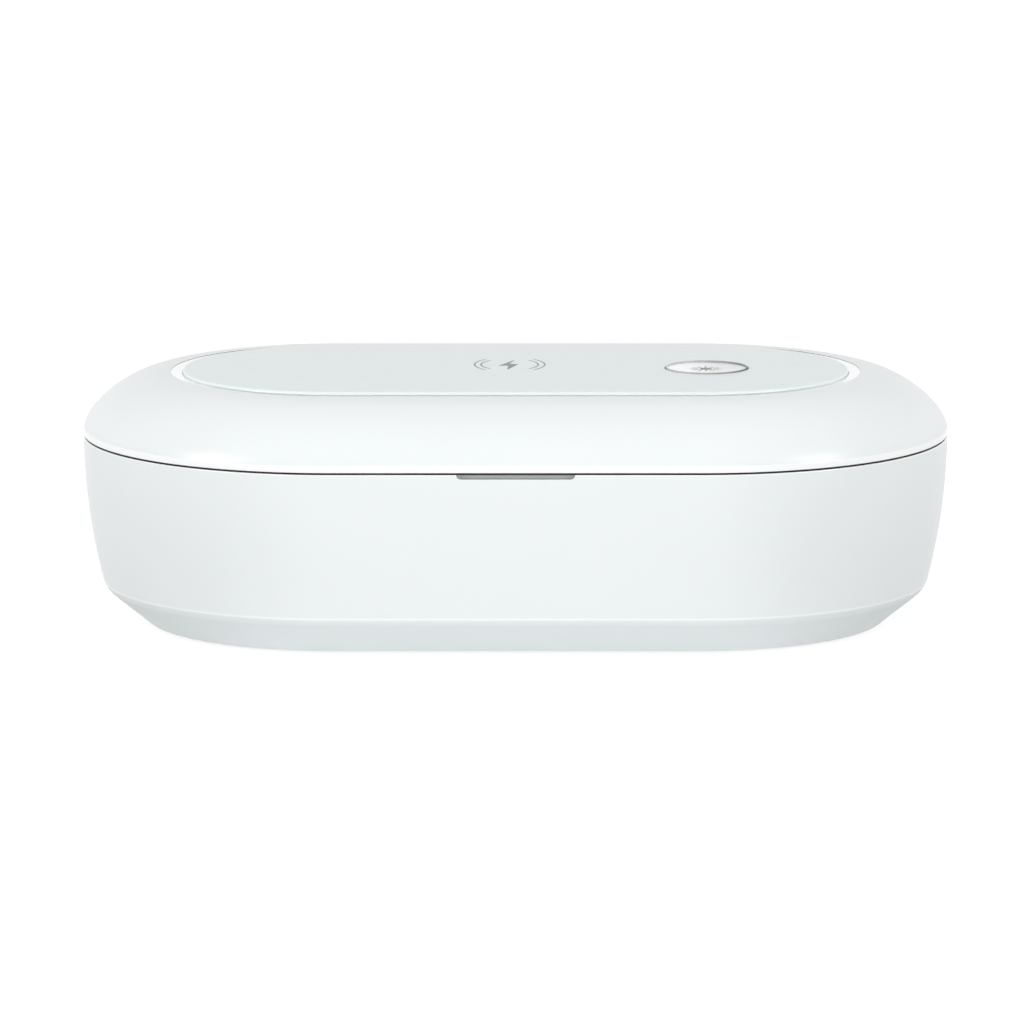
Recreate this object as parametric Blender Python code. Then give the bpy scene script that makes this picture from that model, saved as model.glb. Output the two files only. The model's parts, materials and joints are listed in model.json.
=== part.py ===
"""A box that cleans phones with ultraviolet light and charges one on its lid.

Metres, X along the box, Y to the rear, Z up, origin on the floor under the middle.
Every large piece follows one stadium: two half circles joined by straight sides.
A section is a list of (radius, height) points that is swept round that stadium.
"""
import math

import bmesh
import bpy
from mathutils import Matrix, Vector

mm = 0.001

# Overall form
body_length = 220.0 * mm
body_width = 128.9 * mm
stand_off = 0.8 * mm
seam_rise = 47.7 * mm
lid_rise = 16.3 * mm
base_rim_drop = 0.35 * mm
seam_gap = 0.45 * mm
fit_gap = 0.3 * mm
run_gap = 0.4 * mm
overrun = 3.0 * mm
wall = 2.2 * mm
edge_round = 0.25 * mm
merge_gap = 0.001 * mm
arc_steps = 18
round_steps = 16
small_steps = 12
hole_steps = 8
corner_steps = 2

half_width = body_width / 2
straight_half = (body_length - body_width) / 2
seam = stand_off + seam_rise
panel_top = seam + lid_rise
base_rim = seam - base_rim_drop
lid_rim = base_rim + seam_gap

# Base housing
bow_radius = 149.0 * mm
chamfer_rise = 8.9 * mm
bottom_inset = 15.9 * mm
chamfer_fillet = 6.0 * mm
bottom_round = 0.8 * mm
bow_points = 4
inner_bow_points = 2
bottom_lip = 2.75 * mm
cover_recess = 0.3 * mm
cover_thickness = 2.4 * mm
ledge_width = 4.8 * mm
ledge_thickness = 2.0 * mm

cover_bottom = stand_off + cover_recess
cover_top = cover_bottom + cover_thickness
ledge_bottom = cover_top + fit_gap
ledge_top = ledge_bottom + ledge_thickness
cover_opening = half_width - bottom_inset - bottom_lip
cover_half_width = cover_opening - fit_gap
ledge_radius = cover_opening - ledge_width

# Feet
foot_radius = 6.0 * mm
foot_sink = 0.9 * mm
foot_round = 0.3 * mm
foot_inset = 13.0 * mm
foot_angle = math.radians(60.0)

# Rim of the base: seal groove and tray seat
rim_lip = 0.5 * mm
seal_width = 2.4 * mm
seal_thickness = 0.8 * mm
rim_rib = 0.8 * mm
rim_rib_drop = 0.2 * mm
flange_thickness = 1.4 * mm
flange_drop = 0.1 * mm
seat_width = 4.2 * mm
shelf_thickness = 2.0 * mm
notch_width = 29.3 * mm
notch_drop = 1.15 * mm
notch_depth = 1.7 * mm
notch_wall = 0.45 * mm
notch_round = 1.1 * mm
notch_steps = 3

groove_outer = half_width - rim_lip
groove_inner = groove_outer - seal_width - 2 * fit_gap
groove_floor = lid_rim - fit_gap - seal_thickness - fit_gap
seat_outer = groove_inner - rim_rib
flange_top = base_rim - rim_rib_drop - flange_drop
shelf_top = flange_top - flange_thickness - fit_gap
shelf_bottom = shelf_top - shelf_thickness
shelf_inner = seat_outer - seat_width

# Main board and socket
main_board_length = 84.0 * mm
main_board_front_inset = 15.0 * mm
main_board_rear_inset = 10.95 * mm
main_board_thickness = 1.6 * mm
main_board_rise = 8.4 * mm
board_headroom = 6.55 * mm
post_radius = 2.5 * mm
post_inset = 5.0 * mm
socket_width = 8.94 * mm
socket_height = 3.26 * mm
socket_length = 7.4 * mm
socket_wall = 0.3 * mm
socket_cavity = 6.2 * mm
socket_tongue_width = 6.7 * mm
socket_tongue_height = 0.7 * mm
socket_tongue_length = 4.6 * mm
port_recess_width = 12.4 * mm
port_recess_height = 7.0 * mm
port_recess_depth = 1.0 * mm
slot_corner_share = 0.49
slot_corner_steps = 3
controller_side = 9.0 * mm
controller_x = 12.0 * mm
inductor_side = 10.0 * mm
inductor_height = 4.0 * mm
inductor_round = 4.0 * mm
inductor_x = 24.0 * mm
part_row_inset = 45.5 * mm
capacitor_radius = 2.5 * mm
capacitor_height = 3.6 * mm
capacitor_x = 26.0 * mm
capacitor_inset = 21.5 * mm

main_board_front = ledge_radius - main_board_front_inset
main_board_rear = half_width - main_board_rear_inset
main_board_bottom = cover_top + main_board_rise + fit_gap
main_board_top = main_board_bottom + main_board_thickness
part_bottom = main_board_top + fit_gap
socket_z = part_bottom + socket_height / 2
part_row_y = main_board_rear - part_row_inset
capacitor_y = main_board_rear - capacitor_inset

# Chamber tray, which takes the height that the board leaves below the seam
tray_wall = 1.6 * mm
tray_floor_thickness = 2.0 * mm
tray_draft = 1.5 * mm
tray_fillet = 5.0 * mm
mouth_round = 0.6 * mm
rib_rise = 3.0 * mm
rib_thickness = 1.6 * mm
rib_end_inset = 17.55 * mm
rib_spacing_share = 6 / 7
rib_count = 4

tray_outer = shelf_inner - fit_gap
chamber_radius = tray_outer - tray_wall
tray_bottom = main_board_top + board_headroom
tray_floor = tray_bottom + tray_floor_thickness
rib_length = 2 * (chamber_radius - tray_draft - rib_end_inset)

# Hinge
barrel_radius = 2.6 * mm
barrel_inset = 0.15 * mm
barrel_flat = 0.1 * mm
barrel_end_inset = 11.55 * mm
ridge_reach = 19.45 * mm
pin_radius = 1.0 * mm
pin_clearance = 0.1 * mm
pin_length = 18.0 * mm
pin_in_base = 7.6 * mm
pin_end_gap = 0.5 * mm
pin_slot_spare = 2.0 * mm
heel_above_relief = 0.6 * mm
web_rise = 5.0 * mm
web_inset = 0.3 * mm
hinge_sides = 20

hinge_y = half_width - barrel_inset - barrel_radius
hinge_z = seam
relief_radius = barrel_radius + run_gap
rear_clear = hinge_y - relief_radius - run_gap
ridge_half = straight_half + ridge_reach
lid_barrel_half = straight_half - barrel_end_inset
pin_slot_length = pin_length + pin_slot_spare
lid_heel = relief_radius + heel_above_relief

# Lid housing
lid_lip = 1.15 * mm
shoulder_width = 22.9 * mm
crest_drop = 0.6 * mm
crest_step = 0.25 * mm
dome_side_handle = 5.0 * mm
dome_top_handle = 11.6 * mm
dome_top_angle = math.radians(6.3)
dome_points = 9
lid_rim_width = 2.9 * mm
lid_rim_rib_rise = 1.6 * mm
bevel_width = 2.45 * mm
bevel_drop = 0.3 * mm
panel_ledge = 3.6 * mm
panel_ledge_thickness = 1.8 * mm
roof_blend = 2.4 * mm

crest_half_width = half_width - shoulder_width
recess_radius = crest_half_width - bevel_width
crest_z = panel_top - crest_drop

# Top panel and carrier
panel_thickness = 1.6 * mm
panel_round = 0.6 * mm
carrier_thickness = 1.6 * mm
coil_hole_radius = 22.8 * mm

panel_radius = recess_radius - fit_gap
panel_bottom = panel_top - panel_thickness
recess_floor = panel_bottom - fit_gap
ledge_inner = recess_radius - panel_ledge
carrier_radius = ledge_inner - fit_gap
carrier_top = panel_bottom - fit_gap
carrier_bottom = carrier_top - carrier_thickness

# Wireless charger
coil_wire = 1.0 * mm
coil_inner_radius = 10.0 * mm
coil_hole_gap = 0.7 * mm
coil_steps = 112
coil_turn_steps = 14
ferrite_side = 48.0 * mm
ferrite_thickness = 0.8 * mm
charging_board_length = 58.0 * mm
charging_board_width = 40.0 * mm
board_thickness = 1.2 * mm
board_round = 2.0 * mm
charger_chip_side = 7.0 * mm
chip_thickness = 1.0 * mm

coil_outer_radius = coil_hole_radius - coil_hole_gap - coil_wire / 2
ferrite_top = carrier_bottom - fit_gap
charging_board_top = ferrite_top - ferrite_thickness - fit_gap
charging_board_bottom = charging_board_top - board_thickness

# Lid liner and lamps
liner_thickness = 2.0 * mm
liner_lift = 0.2 * mm
liner_edge_gap = 0.35 * mm
trap_gap = 0.8 * mm
trap_thickness = 1.4 * mm
trap_drop = 2.0 * mm
lamp_inset = 68.0 * mm
lamp_side = 3.5 * mm
lamp_height = 1.0 * mm
lamp_hole_radius = 3.0 * mm
window_radius = 5.0 * mm
window_thickness = 0.7 * mm
lamp_board_overhang = 13.0 * mm
lamp_board_width = 10.0 * mm

liner_radius = half_width - lid_rim_width - liner_edge_gap
liner_bottom = seam + liner_lift
liner_top = liner_bottom + liner_thickness
lamp_x = body_length / 2 - lamp_inset
lamp_board_length = 2 * (lamp_x + lamp_board_overhang)
lid_lamp_board_bottom = liner_top + fit_gap
base_lamp_board_top = tray_bottom - fit_gap
window_seat = window_thickness + fit_gap
rib_spacing = lamp_x * rib_spacing_share

# Button, whose stem reaches down to the switch on its board above the lamp board
button_x_share = 0.221
button_diameter = 20.8 * mm
button_dish = 0.2 * mm
button_edge = 0.3 * mm
dish_points = 4
button_lip = 0.8 * mm
button_lip_thickness = 0.8 * mm
button_stem_radius = 2.0 * mm
button_travel = 0.5 * mm
plunger_radius = 1.6 * mm
plunger_length = 2.4 * mm
plunger_proud = 1.1 * mm
switch_side = 6.2 * mm
switch_height = 3.6 * mm
button_board_length = 16.0 * mm
button_board_width = 36.0 * mm
carrier_post_radius = 1.5 * mm

button_x = body_length * button_x_share
button_radius = button_diameter / 2
button_hole_radius = button_radius + fit_gap
button_lip_radius = button_hole_radius + button_lip
button_lip_top = panel_bottom - fit_gap
button_lip_bottom = button_lip_top - button_lip_thickness
button_board_bottom = lid_lamp_board_bottom + board_thickness + run_gap
button_board_top = button_board_bottom + board_thickness
switch_bottom = button_board_top + fit_gap
switch_top = switch_bottom + switch_height
plunger_top = switch_top + plunger_proud
plunger_bottom = plunger_top - plunger_length
stem_bottom = plunger_top + fit_gap
carrier_post_y = button_lip_radius + fit_gap + 2 * carrier_post_radius

# Screws
screw_radius = 1.0 * mm
screw_head_radius = 2.3 * mm
screw_head_height = 1.2 * mm
screw_slot_width = 0.5 * mm
screw_slot_depth = 0.6 * mm
screw_length = 7.0 * mm
screw_hole_gap = 0.3 * mm
screw_tip_gap = 0.6 * mm
head_sink = 0.1 * mm
lid_boss_radius = 2.6 * mm
lid_boss_embed = 0.8 * mm
lid_screw_offset = 0.5 * mm
lid_screw_angle = math.radians(65.0)
cover_boss_radius = 3.5 * mm
cover_boss_rise = 9.0 * mm
cover_screw_inset = 6.0 * mm
cover_screw_angle = math.radians(45.0)

# Magnets and lid sensor
magnet_radius = 1.75 * mm
magnet_height = 2.0 * mm
magnet_wall = 0.6 * mm
magnet_x_share = 0.615
magnet_floor = 0.8 * mm
boss_embed = 0.5 * mm
sensor_board_width = 12.0 * mm
sensor_board_height = 14.0 * mm
sensor_width = 4.1 * mm
sensor_depth = 1.6 * mm
sensor_height = 3.0 * mm
sensor_board_drop = 1.2 * mm

magnet_pocket_radius = magnet_radius + fit_gap
magnet_boss_radius = magnet_pocket_radius + magnet_wall
magnet_x = straight_half * magnet_x_share
magnet_y = -(tray_outer + magnet_boss_radius + fit_gap)


def clear_scene():
    for obj in list(bpy.data.objects):
        bpy.data.objects.remove(obj, do_unlink=True)


def make_material(name, colour, roughness, metallic=0.0, alpha=1.0):
    material = bpy.data.materials.new(name)
    material.use_nodes = True
    shader = material.node_tree.nodes["Principled BSDF"]
    shader.inputs["Base Color"].default_value = (*colour, 1.0)
    shader.inputs["Roughness"].default_value = roughness
    shader.inputs["Metallic"].default_value = metallic
    shader.inputs["Alpha"].default_value = alpha
    material.diffuse_color = (*colour, alpha)
    return material


def make_materials():
    return {
        "shell": make_material("white_shell_plastic", (0.86, 0.88, 0.88), 0.32),
        "panel": make_material("panel_plastic", (0.74, 0.79, 0.79), 0.3),
        "button": make_material("button_plastic", (0.86, 0.86, 0.88), 0.28),
        "liner": make_material("liner_plastic", (0.7, 0.72, 0.73), 0.4),
        "seal": make_material("seal_rubber", (0.02, 0.02, 0.02), 0.7),
        "foot": make_material("foot_rubber", (0.25, 0.26, 0.27), 0.8),
        "steel": make_material("steel", (0.6, 0.6, 0.62), 0.3, 1.0),
        "magnet": make_material("magnet_nickel", (0.55, 0.55, 0.56), 0.25, 1.0),
        "copper": make_material("coil_copper", (0.72, 0.35, 0.18), 0.35, 1.0),
        "ferrite": make_material("ferrite", (0.06, 0.06, 0.065), 0.6),
        "board": make_material("green_board", (0.03, 0.2, 0.09), 0.45),
        "chip": make_material("chip_black", (0.02, 0.02, 0.022), 0.5),
        "lamp": make_material("lamp_ceramic", (0.8, 0.78, 0.7), 0.4),
        "quartz": make_material("quartz", (0.75, 0.8, 0.9), 0.05, 0.0, 0.4),
    }


def place_of(obj):
    """An object's place in the box's frame, through all that carries it."""
    place = Vector(obj.location)
    while obj.parent:
        obj = obj.parent
        place += obj.location
    return place


def hang(obj, place, parent):
    """Link an object and put it at a place of the box's frame, under its parent."""
    bpy.context.collection.objects.link(obj)
    obj.location = place
    if parent:
        obj.parent = parent
        obj.location = Vector(place) - place_of(parent)


def make_pivot(name, place, parent=None):
    """An empty on a joint's axis, which the moving pieces hang from."""
    pivot = bpy.data.objects.new(name, None)
    hang(pivot, place, parent)
    return pivot


def add_piece(name, bm, material, place=(0, 0, 0), parent=None):
    """Make a finished object of a bmesh, at a place given in the box's frame."""
    bmesh.ops.remove_doubles(bm, verts=bm.verts, dist=merge_gap)
    bmesh.ops.recalc_face_normals(bm, faces=bm.faces)
    mesh = bpy.data.meshes.new(name)
    bm.to_mesh(mesh)
    bm.free()
    mesh.shade_smooth()
    mesh.set_sharp_from_angle(angle=math.radians(30.0))
    mesh.materials.append(material)
    piece = bpy.data.objects.new(name, mesh)
    hang(piece, place, parent)
    return piece


def add_tool(name, bm, place=(0, 0, 0), parent=None):
    """A shape that only cuts or joins a piece."""
    return add_piece(name, bm, None, place, parent)


def combine(piece, tool, operation):
    """Cut a tool out of a piece, or add it on, and hide the tool."""
    tool.hide_render = True
    tool.display_type = "WIRE"
    step = piece.modifiers.new(tool.name, "BOOLEAN")
    step.operation = operation
    step.solver = "EXACT"
    step.object = tool


def cut(piece, tool):
    combine(piece, tool, "DIFFERENCE")


def join(piece, tool):
    combine(piece, tool, "UNION")


def rounded(outline, steps=corner_steps):
    """Turn each corner (x, y, radius) of a closed outline into a tangent arc."""
    points = []
    count = len(outline)
    for index, (x, y, radius) in enumerate(outline):
        corner = Vector((x, y))
        if radius == 0:
            points.append(corner)
            continue
        before = Vector(outline[index - 1][:2]) - corner
        after = Vector(outline[(index + 1) % count][:2]) - corner
        half_angle = before.angle(after) / 2
        reach = min(radius / math.tan(half_angle), before.length / 2, after.length / 2)
        true_radius = reach * math.tan(half_angle)
        middle = (before.normalized() + after.normalized()).normalized()
        centre = corner + middle * (true_radius / math.sin(half_angle))
        start = corner + before.normalized() * reach - centre
        turn = start.angle_signed(corner + after.normalized() * reach - centre)
        for step in range(steps + 1):
            arm = start.copy()
            arm.rotate(Matrix.Rotation(-turn * step / steps, 2))
            points.append(centre + arm)
    return points


def sweep_stadium(section, closed=True):
    """Sweep (radius, height) points round the stadium; an open section gets flat caps."""
    bm = bmesh.new()
    verts = [bm.verts.new((0, -point[0], point[1])) for point in section]
    pairs = list(zip(verts, verts[1:]))
    if closed:
        pairs.append((verts[-1], verts[0]))
    profile = verts + [bm.edges.new(pair) for pair in pairs]

    def straight(geometry, shift):
        edges = [g for g in geometry if isinstance(g, bmesh.types.BMEdge)]
        grown = bmesh.ops.extrude_edge_only(bm, edges=edges)
        moved = [g for g in grown["geom"] if isinstance(g, bmesh.types.BMVert)]
        bmesh.ops.translate(bm, verts=moved, vec=(shift, 0, 0))
        return [g for g in grown["geom"] if not isinstance(g, bmesh.types.BMFace)]

    def turn(geometry, centre_x):
        spun = bmesh.ops.spin(
            bm, geom=geometry, cent=(centre_x, 0, 0), axis=(0, 0, 1), angle=math.pi, steps=arc_steps
        )
        return spun["geom_last"]

    end = straight(profile, straight_half)
    end = turn(end, straight_half)
    end = straight(end, -2 * straight_half)
    end = turn(end, -straight_half)
    straight(end, straight_half)
    bmesh.ops.remove_doubles(bm, verts=bm.verts, dist=merge_gap)
    if not closed:
        bmesh.ops.holes_fill(bm, edges=bm.edges, sides=0)
    return bm


def plate(radius, bottom, top):
    """A plain stadium plate between two heights."""
    return sweep_stadium([(radius, bottom), (radius, top)], closed=False)


def turned(section, steps=round_steps):
    """Turn (radius, height) points, which start and end on the axis, about Z."""
    bm = bmesh.new()
    verts = [bm.verts.new((radius, 0, height)) for radius, height in section]
    edges = [bm.edges.new(pair) for pair in zip(verts, verts[1:])]
    bmesh.ops.spin(bm, geom=verts + edges, axis=(0, 0, 1), angle=math.tau, steps=steps, use_merge=True)
    return bm


def cylinder(radius, bottom, top, steps=round_steps, places=((0, 0),)):
    """Upright cylinders between two heights, one at each (x, y) place."""
    bm = bmesh.new()
    for x, y in places:
        made = bmesh.ops.create_cone(
            bm, cap_ends=True, segments=steps, radius1=radius, radius2=radius, depth=top - bottom
        )
        bmesh.ops.translate(bm, verts=made["verts"], vec=(x, y, (top + bottom) / 2))
    return bm


def cylinder_along_x(radius, spans, steps=hinge_sides):
    """Cylinders on the X axis, one for each (start, end) span."""
    bm = bmesh.new()
    for start, end in spans:
        made = bmesh.ops.create_cone(
            bm, cap_ends=True, segments=steps, radius1=radius, radius2=radius, depth=end - start
        )
        bmesh.ops.rotate(bm, verts=made["verts"], matrix=Matrix.Rotation(math.pi / 2, 3, "Y"))
        bmesh.ops.translate(bm, verts=made["verts"], vec=((start + end) / 2, 0, 0))
    return bm


def prism_along_x(outline, spans):
    """Extrude a closed (y, z) outline along X, once for each (start, end) span."""
    bm = bmesh.new()
    for start, end in spans:
        face = bm.faces.new([bm.verts.new((start, y, z)) for y, z in outline])
        grown = bmesh.ops.extrude_face_region(bm, geom=[face])
        moved = [g for g in grown["geom"] if isinstance(g, bmesh.types.BMVert)]
        bmesh.ops.translate(bm, verts=moved, vec=(end - start, 0, 0))
    return bm


def block(length, width, height, round_radius=0.0, steps=corner_steps, places=((0, 0, 0),)):
    """Blocks centred in X and Y on their places, standing on them, with upright edges rounded."""
    bm = bmesh.new()
    for place in places:
        made = bmesh.ops.create_cube(bm, size=1.0)
        bmesh.ops.scale(bm, verts=made["verts"], vec=(length, width, height))
        bmesh.ops.translate(bm, verts=made["verts"], vec=Vector(place) + Vector((0, 0, height / 2)))
    if round_radius:
        upright = [e for e in bm.edges if abs(e.verts[0].co.z - e.verts[1].co.z) > height / 2]
        bmesh.ops.bevel(
            bm, geom=upright, offset=round_radius, segments=steps, profile=0.5, affect="EDGES", material=-1
        )
    return bm


def four_places(radius, angle):
    """The four like places at one radius and angle about the centres of the end arcs."""
    x = straight_half + radius * math.cos(angle)
    y = radius * math.sin(angle)
    return [(side_x * x, side_y * y) for side_x in (-1, 1) for side_y in (-1, 1)]


def wall_radius(z):
    """The bowed outer wall of the base: upright at the seam, drawn in below it."""
    return half_width - (seam - z) ** 2 / (2 * bow_radius)


def base_section():
    chamfer_top = stand_off + chamfer_rise
    corner_radius = wall_radius(chamfer_top)
    bottom_radius = half_width - bottom_inset
    chamfer_lean = (corner_radius - bottom_radius) / chamfer_rise
    wall_lean = (seam - chamfer_top) / bow_radius
    chamfer_shift = wall * math.hypot(1.0, chamfer_lean)
    wall_shift = wall * math.hypot(1.0, wall_lean)
    inner_corner = chamfer_top + (chamfer_shift - wall_shift) / (chamfer_lean - wall_lean)
    ledge_end = bottom_radius + chamfer_lean * (ledge_top - stand_off) - chamfer_shift
    outline = [(half_width, base_rim, edge_round)]
    for step in range(1, bow_points):
        z = base_rim + (chamfer_top - base_rim) * step / bow_points
        outline.append((wall_radius(z), z, 0))
    outline.append((corner_radius, chamfer_top, chamfer_fillet))
    outline.append((bottom_radius, stand_off, bottom_round))
    outline.append((cover_opening, stand_off, 0))
    outline.append((cover_opening, ledge_bottom, 0))
    outline.append((ledge_radius, ledge_bottom, 0))
    outline.append((ledge_radius, ledge_top, 0))
    outline.append((ledge_end, ledge_top, 0))
    outline.append((wall_radius(inner_corner) - wall, inner_corner, chamfer_fillet - wall))
    for step in range(1, inner_bow_points + 1):
        z = inner_corner + (shelf_bottom - inner_corner) * step / inner_bow_points
        outline.append((wall_radius(z) - wall, z, 0))
    outline.append((shelf_inner, shelf_bottom, 0))
    outline.append((shelf_inner, shelf_top, 0))
    outline.append((seat_outer, shelf_top, 0))
    outline.append((seat_outer, base_rim - rim_rib_drop, 0))
    outline.append((groove_inner, base_rim - rim_rib_drop, 0))
    outline.append((groove_inner, groove_floor, 0))
    outline.append((groove_outer, groove_floor, 0))
    outline.append((groove_outer, base_rim, 0))
    return rounded(outline)


def cover_screw_places():
    return four_places(cover_half_width - cover_screw_inset, cover_screw_angle)


def foot_places():
    return four_places(cover_half_width - foot_inset, foot_angle)


def arc_about_hinge(radius, start, end, steps):
    return [
        (radius * math.cos(start + (end - start) * step / steps),
         radius * math.sin(start + (end - start) * step / steps))
        for step in range(steps + 1)
    ]


def add_base_hinge(shell):
    """A half-round ridge along the rear edge, gapped for the lid's barrel and bored for the pins."""
    place = (0, hinge_y, hinge_z)
    ridge = add_tool("ridge_tool", cylinder_along_x(barrel_radius, [(-ridge_half, ridge_half)]), place)
    trim_low = hinge_z - 2 * barrel_radius
    trim_high = hinge_z + 2 * barrel_radius
    trim = plate(half_width - barrel_inset - barrel_flat, trim_low, trim_high)
    combine(ridge, add_tool("ridge_trim", trim), "INTERSECT")
    join(shell, ridge)
    gap = arc_about_hinge(relief_radius, -math.pi, 0.0, hinge_sides // 2)
    gap = gap + [(relief_radius, overrun + barrel_radius), (-relief_radius, overrun + barrel_radius)]
    gap_half = lid_barrel_half + run_gap
    cut(shell, add_tool("barrel_gap_tool", prism_along_x(gap, [(-gap_half, gap_half)]), place))
    reach = gap_half + pin_in_base + pin_end_gap
    spans = [(-reach, -lid_barrel_half), (lid_barrel_half, reach)]
    bores = cylinder_along_x(pin_radius + pin_clearance, spans)
    cut(shell, add_tool("base_bore_tool", bores, place))


def port_wall_y():
    return wall_radius(socket_z)


def slot_block(width, height, length):
    """A slot-shaped bar along Y: a block whose four long edges are rounded to half its height."""
    bm = bmesh.new()
    bmesh.ops.create_cube(bm, size=1.0)
    bmesh.ops.scale(bm, verts=bm.verts, vec=(width, length, height))
    long_edges = [e for e in bm.edges if abs(e.verts[0].co.y - e.verts[1].co.y) > length / 2]
    bmesh.ops.bevel(
        bm, geom=long_edges, offset=height * slot_corner_share, segments=slot_corner_steps, profile=0.5,
        affect="EDGES", material=-1,
    )
    return bm


def add_port(shell):
    wall_y = port_wall_y()
    hole = slot_block(socket_width + 2 * fit_gap, socket_height + 2 * fit_gap, 2 * wall + 2 * overrun)
    cut(shell, add_tool("port_hole_tool", hole, (0, wall_y - wall, socket_z)))
    recess = slot_block(port_recess_width, port_recess_height, 2 * port_recess_depth)
    cut(shell, add_tool("port_recess_tool", recess, (0, wall_y, socket_z)))


def add_finger_notch(shell):
    """A notch in the front lip, with a thin wall that parts it from the seal's groove."""
    groove_depth = base_rim - groove_floor
    backing = block(
        notch_width + 2 * notch_wall, notch_depth + notch_wall - rim_lip / 2, groove_depth + boss_embed
    )
    backing_y = -half_width + (notch_depth + notch_wall + rim_lip / 2) / 2
    place = (0, backing_y, groove_floor - boss_embed)
    join(shell, add_tool("notch_backing_tool", backing, place))
    height = notch_drop + overrun
    bm = bmesh.new()
    bmesh.ops.create_cube(bm, size=1.0)
    bmesh.ops.scale(bm, verts=bm.verts, vec=(notch_width, 2 * notch_depth, height))
    low = [
        e for e in bm.edges
        if abs(e.verts[0].co.y - e.verts[1].co.y) > notch_depth and e.verts[0].co.z < 0
    ]
    bmesh.ops.bevel(
        bm, geom=low, offset=notch_round, segments=notch_steps, profile=0.5, affect="EDGES", material=-1
    )
    place = (0, -half_width, base_rim - notch_drop + height / 2)
    cut(shell, add_tool("notch_tool", bm, place))


def magnet_places():
    return [(-magnet_x, magnet_y), (magnet_x, magnet_y)]


def make_base_shell(materials):
    shell = add_piece("base_shell", sweep_stadium(base_section()), materials["shell"])
    add_base_hinge(shell)
    add_port(shell)
    add_finger_notch(shell)
    boss_top = ledge_bottom + cover_boss_rise
    bosses = cylinder(cover_boss_radius, ledge_bottom, boss_top, places=cover_screw_places())
    join(shell, add_tool("cover_boss_tool", bosses))
    hole_top = cover_bottom + screw_head_height + screw_length + screw_tip_gap
    holes = cylinder(
        screw_radius + screw_hole_gap, cover_bottom, hole_top, steps=hole_steps, places=cover_screw_places()
    )
    cut(shell, add_tool("cover_hole_tool", holes))
    pocket_floor = shelf_bottom - fit_gap
    boss_low = pocket_floor - magnet_height - fit_gap
    bosses = cylinder(
        magnet_boss_radius, boss_low, shelf_bottom + boss_embed, steps=small_steps, places=magnet_places()
    )
    join(shell, add_tool("magnet_boss_tool", bosses))
    pockets = cylinder(
        magnet_pocket_radius, boss_low - overrun, shelf_bottom, steps=small_steps, places=magnet_places()
    )
    cut(shell, add_tool("magnet_pocket_tool", pockets))
    return shell


def make_base_magnets(materials):
    top = shelf_bottom - fit_gap
    for side, (x, y) in zip(("left", "right"), magnet_places()):
        body = cylinder(magnet_radius, -magnet_height, 0, steps=small_steps)
        add_piece("base_magnet_" + side, body, materials["magnet"], (x, y, top))


def make_seal(materials):
    outer = groove_outer - fit_gap
    inner = outer - seal_width
    low = groove_floor + fit_gap
    high = low + seal_thickness
    section = [(outer, low), (outer, high), (inner, high), (inner, low)]
    seal = add_piece("rim_seal", sweep_stadium(section), materials["seal"])
    rear = block(
        2 * (ridge_half + run_gap), half_width, 2 * overrun + seal_thickness,
        places=[(0, rear_clear + half_width / 2, low - overrun)],
    )
    cut(seal, add_tool("seal_rear_tool", rear))
    depth = notch_depth + notch_wall + fit_gap
    front = block(
        notch_width + 2 * (notch_wall + fit_gap), 2 * depth, 2 * overrun + seal_thickness,
        places=[(0, -half_width, low - overrun)],
    )
    cut(seal, add_tool("seal_notch_tool", front))
    return seal


def make_base_cover(materials):
    cover = add_piece("base_cover", plate(cover_half_width, cover_bottom, cover_top), materials["shell"])
    posts = cylinder(
        post_radius, cover_top - boss_embed, cover_top + main_board_rise, steps=hole_steps,
        places=post_places(),
    )
    join(cover, add_tool("board_post_tool", posts))
    wells = cylinder(
        foot_radius + fit_gap, cover_bottom - overrun, cover_bottom + foot_sink,
        places=foot_places(),
    )
    cut(cover, add_tool("foot_well_tool", wells))
    holes = cylinder(
        screw_radius + screw_hole_gap, cover_bottom - overrun, cover_top + overrun, steps=hole_steps,
        places=cover_screw_places(),
    )
    cut(cover, add_tool("cover_through_tool", holes))
    sinks = cylinder(
        screw_head_radius + fit_gap, cover_bottom - overrun,
        cover_bottom + head_sink + screw_head_height + fit_gap, steps=small_steps,
        places=cover_screw_places(),
    )
    cut(cover, add_tool("cover_sink_tool", sinks))
    return cover


def post_places():
    x = main_board_length / 2 - post_inset
    rear = ledge_radius - fit_gap - post_radius
    front = post_inset - main_board_front
    return [(-x, front), (x, front), (-x, rear), (x, rear)]


def make_feet(materials):
    height = stand_off + cover_recess + foot_sink - fit_gap
    section = [
        (0, 0), (foot_radius - foot_round, 0), (foot_radius, foot_round), (foot_radius, height),
        (0, height),
    ]
    names = ("front_left", "rear_left", "front_right", "rear_right")
    for name, (x, y) in zip(names, foot_places()):
        add_piece("foot_" + name, turned(section), materials["foot"], (x, y, 0))


def screw_body():
    """A pan-head screw standing on its head, with a cross in it."""
    head = screw_head_height
    section = [
        (0, 0), (screw_head_radius - edge_round, 0), (screw_head_radius, edge_round),
        (screw_head_radius, head), (screw_radius, head),
        (screw_radius, head + screw_length - screw_radius), (0, head + screw_length),
    ]
    return turned(section, steps=hole_steps)


def make_screw(name, place, material, parent=None):
    screw = add_piece(name, screw_body(), material, place, parent)
    bar = 2 * (screw_head_radius - 2 * edge_round)
    for index, (length, width) in enumerate(((bar, screw_slot_width), (screw_slot_width, bar))):
        slot = block(length, width, 2 * screw_slot_depth, places=[(0, 0, -screw_slot_depth)])
        cut(screw, add_tool(name + "_slot_tool_" + str(index), slot, place, parent))
    return screw


def make_cover_screws(materials):
    for index, (x, y) in enumerate(cover_screw_places()):
        place = (x, y, cover_bottom + head_sink)
        make_screw("cover_screw_" + str(index + 1), place, materials["steel"])


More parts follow.
